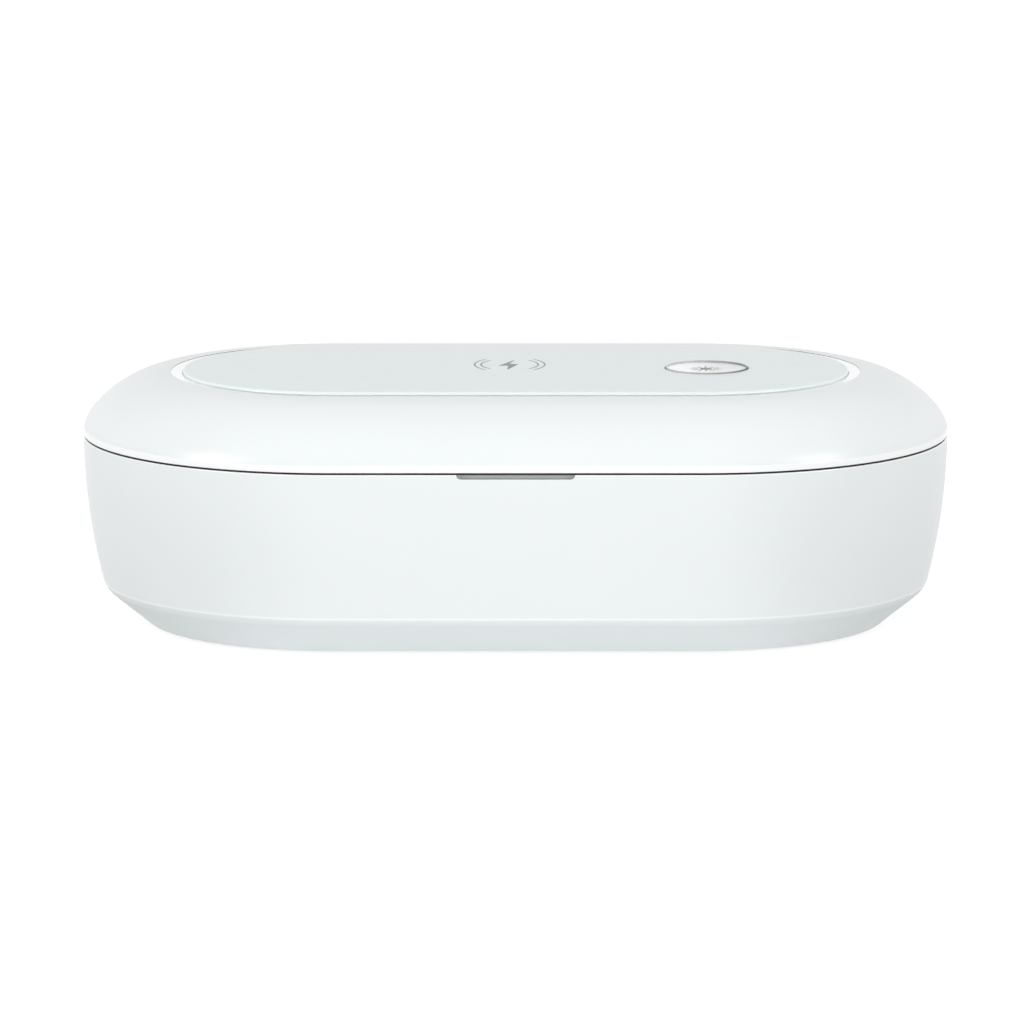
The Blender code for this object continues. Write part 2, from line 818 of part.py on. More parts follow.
def tray_section():
    floor_radius = chamber_radius - tray_draft
    flange_radius = seat_outer - fit_gap
    return rounded([
        (flange_radius, flange_top, 0),
        (chamber_radius, flange_top, mouth_round),
        (floor_radius, tray_floor, tray_fillet),
        (0, tray_floor, 0),
        (0, tray_bottom, 0),
        (floor_radius + tray_wall, tray_bottom, tray_fillet + tray_wall),
        (tray_outer, flange_top - flange_thickness, 0),
        (flange_radius, flange_top - flange_thickness, 0),
    ])


def open_section(points):
    """Start the section on the last point at the middle and end it on the first."""
    middle = [index for index, point in enumerate(points) if point[0] == 0]
    ordered = points[middle[1]:] + points[:middle[0] + 1]
    return [point for point in ordered if point[0] > 0]


def lamp_places():
    return [(-lamp_x, 0), (lamp_x, 0)]


def make_tray(materials):
    body = sweep_stadium(open_section(tray_section()), closed=False)
    tray = add_piece("chamber_tray", body, materials["liner"])
    first = -rib_spacing * (rib_count - 1) / 2
    places = [(first + index * rib_spacing, 0, tray_floor - boss_embed) for index in range(rib_count)]
    ribs = block(rib_thickness, rib_length, rib_rise + boss_embed, places=places)
    join(tray, add_tool("rib_tool", ribs))
    holes = cylinder(
        lamp_hole_radius, tray_bottom - overrun, tray_floor + overrun, steps=hole_steps,
        places=lamp_places(),
    )
    cut(tray, add_tool("tray_lamp_tool", holes))
    seats = cylinder(
        window_radius + fit_gap, tray_floor - window_seat, tray_floor + rib_rise, places=lamp_places()
    )
    cut(tray, add_tool("tray_window_tool", seats))
    rear = block(
        2 * (ridge_half + run_gap), half_width, 2 * overrun,
        places=[(0, rear_clear + half_width / 2, flange_top - overrun)],
    )
    cut(tray, add_tool("tray_rear_tool", rear))
    return tray


def make_lamps(prefix, board_low, lamp_low, window_low, materials, parent=None):
    """A lamp board with two lamps, and a window over each."""
    board = block(lamp_board_length, lamp_board_width, board_thickness, board_round)
    add_piece(prefix + "_uv_board", board, materials["board"], (0, 0, board_low), parent)
    for side, (x, y) in zip(("left", "right"), lamp_places()):
        lamp = block(lamp_side, lamp_side, lamp_height, edge_round)
        add_piece(prefix + "_uv_led_" + side, lamp, materials["lamp"], (x, y, lamp_low), parent)
        window = cylinder(window_radius, 0, window_thickness)
        add_piece(prefix + "_uv_window_" + side, window, materials["quartz"], (x, y, window_low), parent)


def make_main_board(materials):
    width = main_board_front + main_board_rear
    middle = (main_board_rear - main_board_front) / 2
    board = block(main_board_length, width, main_board_thickness, board_round)
    add_piece("main_board", board, materials["board"], (0, middle, main_board_bottom))
    chip = block(controller_side, controller_side, chip_thickness, edge_round)
    add_piece("controller_chip", chip, materials["chip"], (-controller_x, part_row_y, part_bottom))
    inductor = block(inductor_side, inductor_side, inductor_height, inductor_round)
    add_piece("power_inductor", inductor, materials["ferrite"], (inductor_x, part_row_y, part_bottom))
    section = [
        (0, 0), (capacitor_radius, 0), (capacitor_radius, capacitor_height - edge_round),
        (capacitor_radius - edge_round, capacitor_height), (0, capacitor_height),
    ]
    for side, x in (("left", -capacitor_x), ("right", capacitor_x)):
        can = turned(section, steps=small_steps)
        add_piece("capacitor_" + side, can, materials["steel"], (x, capacitor_y, part_bottom))


def make_usb_socket(materials):
    mouth = port_wall_y() - port_recess_depth - fit_gap
    place = (0, mouth - socket_length / 2, socket_z)
    body = slot_block(socket_width, socket_height, socket_length)
    socket = add_piece("usb_socket", body, materials["steel"], place)
    cavity_width = socket_width - 2 * socket_wall
    cavity_height = socket_height - 2 * socket_wall
    cavity = slot_block(cavity_width, cavity_height, 2 * socket_cavity)
    cut(socket, add_tool("socket_cavity_tool", cavity, (0, mouth, socket_z)))
    tongue_y = mouth - socket_cavity + (socket_tongue_length - socket_wall) / 2
    tongue = block(
        socket_tongue_width, socket_tongue_length + socket_wall, socket_tongue_height,
        places=[(0, tongue_y, socket_z - socket_tongue_height / 2)],
    )
    join(socket, add_tool("socket_tongue_tool", tongue))
    return socket


def make_sensor(materials):
    board_top = shelf_bottom - sensor_board_drop
    board_y = -(tray_outer + fit_gap + board_thickness / 2)
    board = block(sensor_board_width, board_thickness, sensor_board_height)
    place = (0, board_y, board_top - sensor_board_height)
    add_piece("sensor_board", board, materials["board"], place)
    sensor = block(sensor_width, sensor_depth, sensor_height)
    sensor_y = board_y - board_thickness / 2 - fit_gap - sensor_depth / 2
    add_piece("hall_sensor", sensor, materials["chip"], (0, sensor_y, board_top - sensor_height))


def dome_point(t):
    """The lid's outer curve from the crest beside the panel (t = 0) to the upright lip (t = 1)."""
    crest = Vector((crest_half_width, crest_z))
    top = crest + dome_top_handle * Vector((math.cos(dome_top_angle), math.sin(dome_top_angle)))
    lip = Vector((half_width, lid_rim + lid_lip))
    side = lip + Vector((0, dome_side_handle))
    s = 1 - t
    point = crest * s ** 3 + top * (3 * s * s * t) + side * (3 * s * t * t) + lip * t ** 3
    slope = (top - crest) * s * s + (side - top) * (2 * s * t) + (lip - side) * t * t
    normal = Vector((slope.y, -slope.x)).normalized()
    return point, normal


def lid_section():
    outline = [(half_width, lid_rim, edge_round)]
    for step in range(dome_points, 0, -1):
        point, _ = dome_point(step / dome_points)
        outline.append((point.x, point.y, 0))
    outline.append((crest_half_width, crest_z, 0))
    outline.append((crest_half_width, crest_z - crest_step, 0))
    outline.append((recess_radius, crest_z - crest_step - bevel_drop, 0))
    outline.append((recess_radius, recess_floor, 0))
    outline.append((ledge_inner, recess_floor, 0))
    ledge_under = recess_floor - panel_ledge_thickness
    outline.append((ledge_inner, ledge_under, 0))
    outline.append((recess_radius + roof_blend, ledge_under, 0))
    for step in range(2, dome_points, 2):
        point, normal = dome_point(step / dome_points)
        inner = point + normal * wall
        outline.append((inner.x, inner.y, 0))
    rim_inner = half_width - lid_rim_width
    outline.append((half_width - wall, lid_rim + lid_rim_rib_rise, 0))
    outline.append((rim_inner, lid_rim + lid_rim_rib_rise, 0))
    outline.append((rim_inner, lid_rim, 0))
    return rounded(outline)


def lid_screw_places():
    return four_places(recess_radius + lid_screw_offset, lid_screw_angle)


def add_lid_hinge(shell, pivot):
    """Clear the rear edge round the hinge, then add the barrel on its web, bored for the pins."""
    place = (0, hinge_y, hinge_z)
    arc = arc_about_hinge(relief_radius, math.pi, math.pi / 2, hinge_sides // 4)
    relief = [(-relief_radius, -overrun)] + arc[:-1]
    relief += [(0, lid_heel), (2 * overrun, lid_heel), (2 * overrun, -overrun)]
    relief_half = ridge_half + run_gap
    tool = prism_along_x(relief, [(-relief_half, relief_half)])
    cut(shell, add_tool("lid_relief_tool", tool, place, pivot))
    web = [
        (web_inset - barrel_radius, 0), (-web_inset, 0), (-web_inset, web_rise),
        (web_inset - barrel_radius, web_rise),
    ]
    tool = prism_along_x(web, [(-lid_barrel_half, lid_barrel_half)])
    join(shell, add_tool("web_tool", tool, place, pivot))
    tool = cylinder_along_x(barrel_radius, [(-lid_barrel_half, lid_barrel_half)])
    join(shell, add_tool("lid_barrel_tool", tool, place, pivot))
    spans = [(-lid_barrel_half - overrun, -pin_slot_length / 2 + run_gap)]
    spans.append((pin_slot_length / 2 - run_gap, lid_barrel_half + overrun))
    tool = cylinder_along_x(pin_radius + pin_clearance, spans)
    cut(shell, add_tool("lid_bore_tool", tool, place, pivot))
    near = pin_radius + pin_clearance
    far = -2 * overrun
    slot = [(far, far), (near, far), (near, near), (far, near)]
    tool = prism_along_x(slot, [(-pin_slot_length / 2, pin_slot_length / 2)])
    cut(shell, add_tool("pin_slot_tool", tool, place, pivot))


def make_lid_shell(materials, pivot):
    shell = add_piece("lid_shell", sweep_stadium(lid_section()), materials["shell"], parent=pivot)
    add_lid_hinge(shell, pivot)
    boss_bottom = liner_top + fit_gap
    boss_top = recess_floor - panel_ledge_thickness + lid_boss_embed
    bosses = cylinder(
        lid_boss_radius, boss_bottom, boss_top, steps=hole_steps, places=lid_screw_places()
    )
    join(shell, add_tool("lid_boss_tool", bosses, parent=pivot))
    hole_top = liner_bottom + head_sink + screw_head_height + screw_length + screw_tip_gap
    holes = cylinder(
        screw_radius + screw_hole_gap, boss_bottom - overrun, hole_top, steps=hole_steps,
        places=lid_screw_places(),
    )
    cut(shell, add_tool("lid_hole_tool", holes, parent=pivot))
    return shell


def make_panel(materials, pivot):
    section = rounded([
        (0, panel_bottom, 0), (panel_radius, panel_bottom, 0), (panel_radius, panel_top, panel_round),
        (0, panel_top, 0),
    ])
    body = sweep_stadium([point for point in section if point[0] > 0], closed=False)
    panel = add_piece("charging_panel", body, materials["panel"], parent=pivot)
    hole = cylinder(
        button_hole_radius, panel_bottom - overrun, panel_top + overrun, steps=2 * round_steps,
        places=[(button_x, 0)],
    )
    cut(panel, add_tool("button_hole_tool", hole, parent=pivot))
    return panel


def make_carrier(materials, pivot):
    """The plate under the panel: it holds the coil, and its posts hold the button's board."""
    body = plate(carrier_radius, carrier_bottom, carrier_top)
    carrier = add_piece("panel_carrier", body, materials["liner"], parent=pivot)
    low = carrier_bottom - overrun
    high = carrier_top + overrun
    hole = cylinder(coil_hole_radius, low, high, steps=2 * round_steps)
    cut(carrier, add_tool("coil_hole_tool", hole, parent=pivot))
    hole = cylinder(button_lip_radius + fit_gap, low, high, places=[(button_x, 0)])
    cut(carrier, add_tool("lip_hole_tool", hole, parent=pivot))
    places = [(button_x, -carrier_post_y), (button_x, carrier_post_y)]
    posts = cylinder(
        carrier_post_radius, button_board_top + fit_gap, carrier_bottom + boss_embed, steps=hole_steps,
        places=places,
    )
    join(carrier, add_tool("carrier_post_tool", posts, parent=pivot))
    return carrier


def make_coil(materials, pivot):
    """A flat spiral of round wire, whose turns share their angles and so keep one gap."""
    curve = bpy.data.curves.new("charging_coil", "CURVE")
    curve.dimensions = "3D"
    curve.bevel_depth = coil_wire / 2
    curve.bevel_resolution = 0
    curve.use_fill_caps = True
    curve.render_resolution_u = 0
    line = curve.splines.new("POLY")
    line.points.add(coil_steps)
    growth = (coil_outer_radius - coil_inner_radius) / coil_steps
    for index, point in enumerate(line.points):
        angle = math.tau * index / coil_turn_steps
        radius = coil_inner_radius + growth * index
        point.co = (radius * math.cos(angle), radius * math.sin(angle), 0, 1)
    curve.materials.append(materials["copper"])
    coil = bpy.data.objects.new("charging_coil", curve)
    hang(coil, (0, 0, carrier_top - coil_wire / 2), pivot)
    return coil


def make_charger(materials, pivot):
    body = block(ferrite_side, ferrite_side, ferrite_thickness, board_round)
    place = (0, 0, ferrite_top - ferrite_thickness)
    add_piece("ferrite_plate", body, materials["ferrite"], place, pivot)
    board = block(charging_board_length, charging_board_width, board_thickness, board_round)
    add_piece("charging_board", board, materials["board"], (0, 0, charging_board_bottom), pivot)
    chip = block(charger_chip_side, charger_chip_side, chip_thickness, edge_round)
    place = (0, 0, charging_board_bottom - fit_gap - chip_thickness)
    add_piece("charger_chip", chip, materials["chip"], place, pivot)


def make_button_switch(materials, lid_pivot):
    board = block(button_board_length, button_board_width, board_thickness, board_round)
    place = (button_x, 0, button_board_bottom)
    add_piece("button_board", board, materials["board"], place, lid_pivot)
    body = block(switch_side, switch_side, switch_height, 2 * edge_round)
    place = (button_x, 0, switch_bottom)
    switch = add_piece("button_switch", body, materials["chip"], place, lid_pivot)
    well_floor = plunger_bottom - button_travel - fit_gap
    well = cylinder(
        plunger_radius + fit_gap, well_floor, switch_top + overrun, steps=hole_steps, places=[(button_x, 0)]
    )
    cut(switch, add_tool("plunger_well_tool", well, parent=lid_pivot))


def make_button(materials, pivot):
    """The dished cap with its stop lip and stem, and the plunger that it presses."""
    section = [(0, panel_top - button_dish)]
    dish_radius = button_radius - button_edge
    for step in range(1, dish_points + 1):
        share = step / dish_points
        section.append((dish_radius * share, panel_top - button_dish * (1 - share * share)))
    section += [
        (button_radius, panel_top - button_edge), (button_radius, button_lip_top),
        (button_lip_radius, button_lip_top), (button_lip_radius, button_lip_bottom),
        (button_stem_radius, button_lip_bottom), (button_stem_radius, stem_bottom), (0, stem_bottom),
    ]
    local = [(radius, height - panel_top) for radius, height in section]
    body = turned(local, steps=2 * round_steps)
    add_piece("button_cap", body, materials["button"], place_of(pivot), pivot)
    plunger = cylinder(plunger_radius, 0, plunger_length, steps=hole_steps)
    place = (button_x, 0, plunger_bottom)
    add_piece("switch_plunger", plunger, materials["button"], place, pivot)


def make_liner(materials, pivot):
    """The lid's inner cover with a hanging rib that traps stray light inside the chamber's mouth."""
    trap_outer = chamber_radius - trap_gap
    trap_inner = trap_outer - trap_thickness
    trap_low = liner_bottom - trap_drop
    section = [
        (liner_radius, liner_top), (liner_radius, liner_bottom), (trap_outer, liner_bottom),
        (trap_outer, trap_low), (trap_inner, trap_low), (trap_inner, liner_bottom),
    ]
    body = sweep_stadium(section, closed=False)
    liner = add_piece("lid_liner", body, materials["liner"], parent=pivot)
    low = liner_bottom - overrun
    high = liner_top + overrun
    magnets = cylinder(
        magnet_boss_radius, liner_top - boss_embed, liner_bottom + magnet_floor + fit_gap + magnet_height,
        steps=small_steps, places=magnet_places() + [(0, magnet_y)],
    )
    join(liner, add_tool("lid_magnet_boss_tool", magnets, parent=pivot))
    pockets = cylinder(
        magnet_pocket_radius, liner_bottom + magnet_floor, magnet_height + high, steps=small_steps,
        places=magnet_places() + [(0, magnet_y)],
    )
    cut(liner, add_tool("lid_magnet_pocket_tool", pockets, parent=pivot))
    holes = cylinder(lamp_hole_radius, low, high, steps=hole_steps, places=lamp_places())
    cut(liner, add_tool("liner_lamp_tool", holes, parent=pivot))
    seats = cylinder(window_radius + fit_gap, low, liner_bottom + window_seat, places=lamp_places())
    cut(liner, add_tool("liner_window_tool", seats, parent=pivot))
    holes = cylinder(
        screw_radius + screw_hole_gap, low, high, steps=hole_steps, places=lid_screw_places()
    )
    cut(liner, add_tool("liner_hole_tool", holes, parent=pivot))
    sink_top = liner_bottom + head_sink + screw_head_height + fit_gap
    sinks = cylinder(
        screw_head_radius + fit_gap, low, sink_top, steps=small_steps, places=lid_screw_places()
    )
    cut(liner, add_tool("liner_sink_tool", sinks, parent=pivot))
    rear = block(
        2 * (ridge_half + run_gap), half_width, high - low,
        places=[(0, rear_clear + half_width / 2, low)],
    )
    cut(liner, add_tool("liner_rear_tool", rear, parent=pivot))
    return liner


def make_lid_magnets(materials, pivot):
    low = liner_bottom + magnet_floor + fit_gap
    names = ("lid_magnet_left", "lid_magnet_right", "sensor_magnet")
    for name, (x, y) in zip(names, magnet_places() + [(0, magnet_y)]):
        body = cylinder(magnet_radius, 0, magnet_height, steps=small_steps)
        add_piece(name, body, materials["magnet"], (x, y, low), pivot)


def make_lid_screws(materials, pivot):
    for index, (x, y) in enumerate(lid_screw_places()):
        place = (x, y, liner_bottom + head_sink)
        make_screw("lid_screw_" + str(index + 1), place, materials["steel"], pivot)


def make_hinge_pins(materials):
    start = lid_barrel_half + run_gap + pin_in_base - pin_length
    spans = {"left": (-start - pin_length, -start), "right": (start, start + pin_length)}
    for side, span in spans.items():
        pin = cylinder_along_x(pin_radius, [span])
        add_piece("hinge_pin_" + side, pin, materials["steel"], (0, hinge_y, hinge_z))


def build():
    clear_scene()
    materials = make_materials()
    lid_pivot = make_pivot("lid_hinge_axis", (0, hinge_y, hinge_z))
    button_pivot = make_pivot("button_axis", (button_x, 0, panel_top), lid_pivot)

    make_base_shell(materials)
    make_base_cover(materials)
    make_feet(materials)
    make_cover_screws(materials)
    make_seal(materials)
    make_tray(materials)
    board_low = base_lamp_board_top - board_thickness
    lamp_low = base_lamp_board_top + fit_gap
    make_lamps("base", board_low, lamp_low, tray_floor - window_thickness, materials)
    make_main_board(materials)
    make_usb_socket(materials)
    make_base_magnets(materials)
    make_sensor(materials)
    make_hinge_pins(materials)

    make_lid_shell(materials, lid_pivot)
    make_panel(materials, lid_pivot)
    make_carrier(materials, lid_pivot)
    make_coil(materials, lid_pivot)
    make_charger(materials, lid_pivot)
    make_button_switch(materials, lid_pivot)
    make_liner(materials, lid_pivot)
    lamp_low = lid_lamp_board_bottom - fit_gap - lamp_height
    make_lamps("lid", lid_lamp_board_bottom, lamp_low, liner_bottom, materials, lid_pivot)
    make_lid_magnets(materials, lid_pivot)
    make_lid_screws(materials, lid_pivot)
    make_button(materials, button_pivot)


build()
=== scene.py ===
"""A sanitizer box for a phone: a long rounded case with a hinged lid, a top panel and a round button."""

import json
from math import asin, atan, cos, hypot, pi, radians, sin, tan, tau

import bmesh
import bpy
from bmesh.types import BMEdge, BMVert
from mathutils import Matrix, Vector
from mathutils.geometry import interpolate_bezier


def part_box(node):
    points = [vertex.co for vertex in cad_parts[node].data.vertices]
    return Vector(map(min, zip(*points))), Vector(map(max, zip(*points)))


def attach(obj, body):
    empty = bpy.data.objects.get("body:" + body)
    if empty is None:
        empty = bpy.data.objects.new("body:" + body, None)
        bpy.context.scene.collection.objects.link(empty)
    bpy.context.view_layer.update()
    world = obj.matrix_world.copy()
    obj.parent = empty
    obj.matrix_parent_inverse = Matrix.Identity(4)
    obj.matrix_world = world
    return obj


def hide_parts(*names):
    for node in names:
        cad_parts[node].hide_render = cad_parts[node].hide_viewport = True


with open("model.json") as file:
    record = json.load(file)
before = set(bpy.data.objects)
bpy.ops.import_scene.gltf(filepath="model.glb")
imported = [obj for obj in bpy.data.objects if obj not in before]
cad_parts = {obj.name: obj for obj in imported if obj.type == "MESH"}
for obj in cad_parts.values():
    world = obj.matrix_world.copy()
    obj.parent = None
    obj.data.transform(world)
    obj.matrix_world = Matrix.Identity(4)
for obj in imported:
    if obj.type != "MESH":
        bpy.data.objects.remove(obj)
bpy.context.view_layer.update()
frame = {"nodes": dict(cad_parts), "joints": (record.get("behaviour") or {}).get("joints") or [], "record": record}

mm = 0.001

# Sizes and places read from the frame
joints = {joint["name"]: joint for joint in frame["joints"]}
hinge_point = Vector(joints["lid_hinge"]["pos_m"])
base_low, base_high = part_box("base_shell")
panel_low, panel_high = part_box("charging_panel")
seal_low, seal_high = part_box("rim_seal")
cover_low, cover_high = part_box("base_cover")
tray_low, tray_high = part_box("chamber_tray")
liner_low, liner_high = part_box("lid_liner")
button_low, button_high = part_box("button_cap")
socket_low, socket_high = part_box("usb_socket")

half_length = base_high.x
half_width = -base_low.y
straight_half = half_length - half_width
stand_off = base_low.z
seam = hinge_point.z
panel_top = panel_high.z
panel_bottom = panel_low.z
button_x = (button_low.x + button_high.x) / 2

# Fits and steps shared by all pieces
fit_gap = 0.3 * mm
run_gap = 0.4 * mm
overrun = 3.0 * mm
wall = 2.2 * mm
merge_gap = 0.001 * mm
touch_gap = 0.02 * mm
arc_steps = 96
turn_steps = 96
round_steps = 5
fine_round_steps = 3
small_steps = 48
sharp_angle = radians(32.0)

# Base housing
base_rim = seam - 0.45 * mm
bow_radius = 149.0 * mm
bow_steps = 12
chamfer_rise = 8.9 * mm
bottom_inset = 15.9 * mm
chamfer_fillet = 4.8 * mm
bottom_round = 0.8 * mm
edge_line_width = 0.58 * mm
rim_round = 0.25 * mm
lip_round = 0.2 * mm
ledge_thickness = 2.0 * mm
ledge_width = 4.8 * mm
cover_opening = cover_high.y + fit_gap
ledge_bottom = stand_off + 3.0 * mm
ledge_radius = cover_opening - ledge_width

# Rim of the base
rim_lip = 0.5 * mm
rim_rib = 0.8 * mm
rim_rib_drop = 0.2 * mm
groove_outer = half_width - rim_lip
groove_inner = groove_outer - 3.0 * mm
groove_floor = seal_low.z - fit_gap
flange_top = tray_high.z
flange_thickness = 1.4 * mm
seat_outer = groove_inner - rim_rib
seat_width = 4.2 * mm
shelf_thickness = 2.0 * mm
notch_width = 29.3 * mm
notch_drop = 1.07 * mm
notch_depth = 1.7 * mm
notch_round = 1.1 * mm
notch_steps = 6
notch_edge = 0.22 * mm
notch_wall = 0.45 * mm
notch_back_drop = 0.25 * mm

# Hinge
barrel_radius = 2.6 * mm
barrel_steps = 48
barrel_flat = 0.1 * mm
ridge_half = straight_half + 19.45 * mm
lid_barrel_half = straight_half - 11.55 * mm
relief_radius = barrel_radius + run_gap
rear_clear = hinge_point.y - relief_radius - run_gap
pin_hole_radius = 1.1 * mm
pin_slot_half = 10.0 * mm
lid_heel = relief_radius + 0.6 * mm
web_rise = 5.0 * mm
web_inset = 0.3 * mm

# Lid housing
lid_rim = seam + 0.02 * mm
lid_lip = 1.15 * mm
shoulder_width = 22.3 * mm
crest_drop = 0.63 * mm
crest_step = 0.07 * mm
dome_side_handle = 5.3 * mm
dome_top_handle = 10.5 * mm
dome_top_angle = radians(6.6)
dome_steps = 28
inner_dome_steps = 8
crest_round = 0.05 * mm
bevel_width = 2.9 * mm
bevel_drop = 0.26 * mm
lid_rim_width = 2.9 * mm
lid_rim_rise = 1.6 * mm
lid_ledge_width = 3.6 * mm
lid_ledge_thickness = 1.8 * mm
lip_band_rise = 1.5 * mm

# Charging socket's opening
port_recess_width = 12.4 * mm
port_recess_height = 7.0 * mm
port_recess_depth = 1.0 * mm
port_edge_spare = 0.4 * mm
port_edge_round = 0.2 * mm
slot_corner_share = 0.49
slot_corner_steps = 8

sides = ("left", "right")


def centre_of(node):
    low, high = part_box(node)
    return (low + high) / 2


def radius_of(node):
    low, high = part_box(node)
    return (high.x - low.x) / 2


def flat_places(prefix, names):
    """The (x, y) places of the nodes whose names start with a prefix."""
    return [tuple(centre_of(prefix + name)[:2]) for name in names]


def wall_radius(z):
    """The bowed outer wall of the base: upright at the seam, drawn in below it."""
    return half_width - (seam - z) ** 2 / (2 * bow_radius)


chamfer_top = stand_off + chamfer_rise
foot_radius = wall_radius(chamfer_top)
bottom_radius = half_width - bottom_inset
chamfer_lean = (foot_radius - bottom_radius) / chamfer_rise
crest_radius = half_width - shoulder_width
crest_z = panel_top - crest_drop
bevel_outer_z = crest_z - crest_step
bevel_inner_z = bevel_outer_z - bevel_drop
recess_radius = crest_radius - bevel_width


# Shapes

def move(bm, corners, step):
    bmesh.ops.translate(bm, verts=corners, vec=step)


def merge(bm):
    bmesh.ops.remove_doubles(bm, verts=bm.verts, dist=merge_gap)


def round_off(bm, items, reach, steps=round_steps, affect="EDGES"):
    bmesh.ops.bevel(
        bm, geom=items, offset=reach, segments=steps, profile=0.5, affect=affect, material=-1
    )


def round_corner(bm, corner, radius):
    """Round one corner of a section's line to a radius."""
    arms = [edge.other_vert(corner).co - corner.co for edge in corner.link_edges]
    round_off(bm, [corner], radius / tan(arms[0].angle(arms[1]) / 2), affect="VERTICES")


def draw_section(points, closed):
    """Draw a section of (radius, height) points; a third value is the radius that rounds a corner."""
    bm = bmesh.new()
    corners = [bm.verts.new((0.0, -point[0], point[1])) for point in points]
    pairs = list(zip(corners, corners[1:]))
    if closed:
        pairs.append((corners[-1], corners[0]))
    for pair in pairs:
        bm.edges.new(pair)
    for corner, point in zip(corners, points):
        if len(point) > 2:
            round_corner(bm, corner, point[2])
    return bm


def only(kind, items):
    return [item for item in items if isinstance(item, kind)]


def carry_straight(bm, edges, distance):
    """Carry a section's edges along the case's length and return the edges at its end."""
    grown = bmesh.ops.extrude_edge_only(bm, edges=edges)["geom"]
    move(bm, only(BMVert, grown), (distance, 0.0, 0.0))
    return only(BMEdge, grown)


def sweep_case(points, closed=True):
    """Carry a section round the right half of the case, mirror it, and cap an open section's ends."""
    bm = draw_section(points, closed)
    line = carry_straight(bm, bm.edges[:], straight_half)
    corners = list({vert for edge in line for vert in edge.verts})
    spun = bmesh.ops.spin(
        bm, geom=corners + line, cent=(straight_half, 0.0, 0.0), axis=(0.0, 0.0, 1.0),
        angle=pi, steps=arc_steps,
    )
    line = only(BMEdge, spun["geom_last"])
    carry_straight(bm, line, -straight_half)
    merge(bm)
    loose = [edge for edge in bm.edges if not edge.link_faces]
    bmesh.ops.delete(bm, geom=loose, context="EDGES")
    everything = bm.verts[:] + bm.edges[:] + bm.faces[:]
    bmesh.ops.mirror(bm, geom=everything, axis="X", merge_dist=merge_gap)
    merge(bm)
    if not closed:
        bmesh.ops.holes_fill(bm, edges=bm.edges, sides=0)
    return bm


def turn_at(node, points, steps=turn_steps):
    """Turn a section, whose ends lie on the axis, about the upright axis of a node."""
    bm = draw_section(points, closed=False)
    bmesh.ops.spin(
        bm, geom=bm.verts[:] + bm.edges[:], axis=(0.0, 0.0, 1.0), angle=tau, steps=steps,
        use_merge=True,
    )
    merge(bm)
    middle = centre_of(node)
    move(bm, bm.verts, (middle.x, middle.y, 0.0))
    return bm


def add_bar(bm, radius, length, steps):
    """Add an upright round bar about the origin and return its corners."""
    return bmesh.ops.create_cone(
        bm, cap_ends=True, segments=steps, radius1=radius, radius2=radius, depth=length
    )["verts"]


def upright_bars(radius, bottom, top, places, steps=turn_steps):
    """Round bars standing at (x, y) places."""
    bm = bmesh.new()
    for x, y in places:
        bar = add_bar(bm, radius, top - bottom, steps)
        move(bm, bar, (x, y, (top + bottom) / 2))
    return bm


def hinge_bars(radius, spans):
    """Round bars on the hinge's axis, one for each (start, end) span along the case."""
    bm = bmesh.new()
    for start, end in spans:
        bar = add_bar(bm, radius, end - start, barrel_steps)
        bmesh.ops.rotate(bm, verts=bar, matrix=Matrix.Rotation(pi / 2, 3, "Y"))
        move(bm, bar, hinge_point + Vector(((start + end) / 2, 0.0, 0.0)))
    return bm


def add_block(bm, low, high):
    """Add a plain block between two corners."""
    low, high = Vector(low), Vector(high)
    corners = bmesh.ops.create_cube(bm, size=1.0)["verts"]
    bmesh.ops.scale(bm, verts=corners, vec=high - low)
    move(bm, corners, (low + high) / 2)


def block(low, high):
    """A plain block between two corners."""
    bm = bmesh.new()
    add_block(bm, low, high)
    return bm


def hinge_block(half, start_y, end_y, start_z, end_z):
    """A block across the middle of the hinge, whose places are measured from the hinge's axis."""
    low = hinge_point + Vector((-half, start_y, start_z))
    return block(low, hinge_point + Vector((half, end_y, end_z)))


def edges_along_y(bm):
    return [edge for edge in bm.edges if abs(edge.verts[0].co.y - edge.verts[1].co.y) > merge_gap]


def slot_bar(width, height, start_y, end_y, z):
    """A bar along Y with round sides, for the socket and the openings round it."""
    bm = block((-width / 2, start_y, z - height / 2), (width / 2, end_y, z + height / 2))
    round_off(bm, edges_along_y(bm), height * slot_corner_share, slot_corner_steps)
    return bm


# Pieces

def add_object(name, data):
    thing = bpy.data.objects.new(name, data)
    bpy.context.scene.collection.objects.link(thing)
    return thing


def make_mesh(name, bm):
    """Turn finished shapes into an object whose faces point outwards."""
    merge(bm)
    bmesh.ops.recalc_face_normals(bm, faces=bm.faces)
    mesh = bpy.data.meshes.new(name)
    bm.to_mesh(mesh)
    bm.free()
    return add_object(name, mesh)


def apply_modifiers(piece):
    graph = bpy.context.evaluated_depsgraph_get()
    mesh = bpy.data.meshes.new_from_object(piece.evaluated_get(graph))
    piece.modifiers.clear()
    piece.data = mesh


def work(piece, bm, operation):
    """Cut, weld or trim a piece with a shape, which is then thrown away."""
    tool = make_mesh("tool", bm)
    step = piece.modifiers.new("work", "BOOLEAN")
    step.operation = operation
    step.solver = "EXACT"
    step.object = tool
    apply_modifiers(piece)
    bpy.data.objects.remove(tool)


def cut(piece, bm):
    work(piece, bm, "DIFFERENCE")


def weld(piece, bm):
    work(piece, bm, "UNION")


def drill(piece, places, radius, bottom, top, steps=turn_steps):
    """Cut upright round holes into a piece at (x, y) places."""
    cut(piece, upright_bars(radius, bottom, top, places, steps))


def clear_rear(piece, bottom, top):
    """Cut a piece back along its rear, where the hinge is."""
    reach = ridge_half + run_gap
    cut(piece, block((-reach, rear_clear, bottom - overrun), (reach, half_width, top + overrun)))


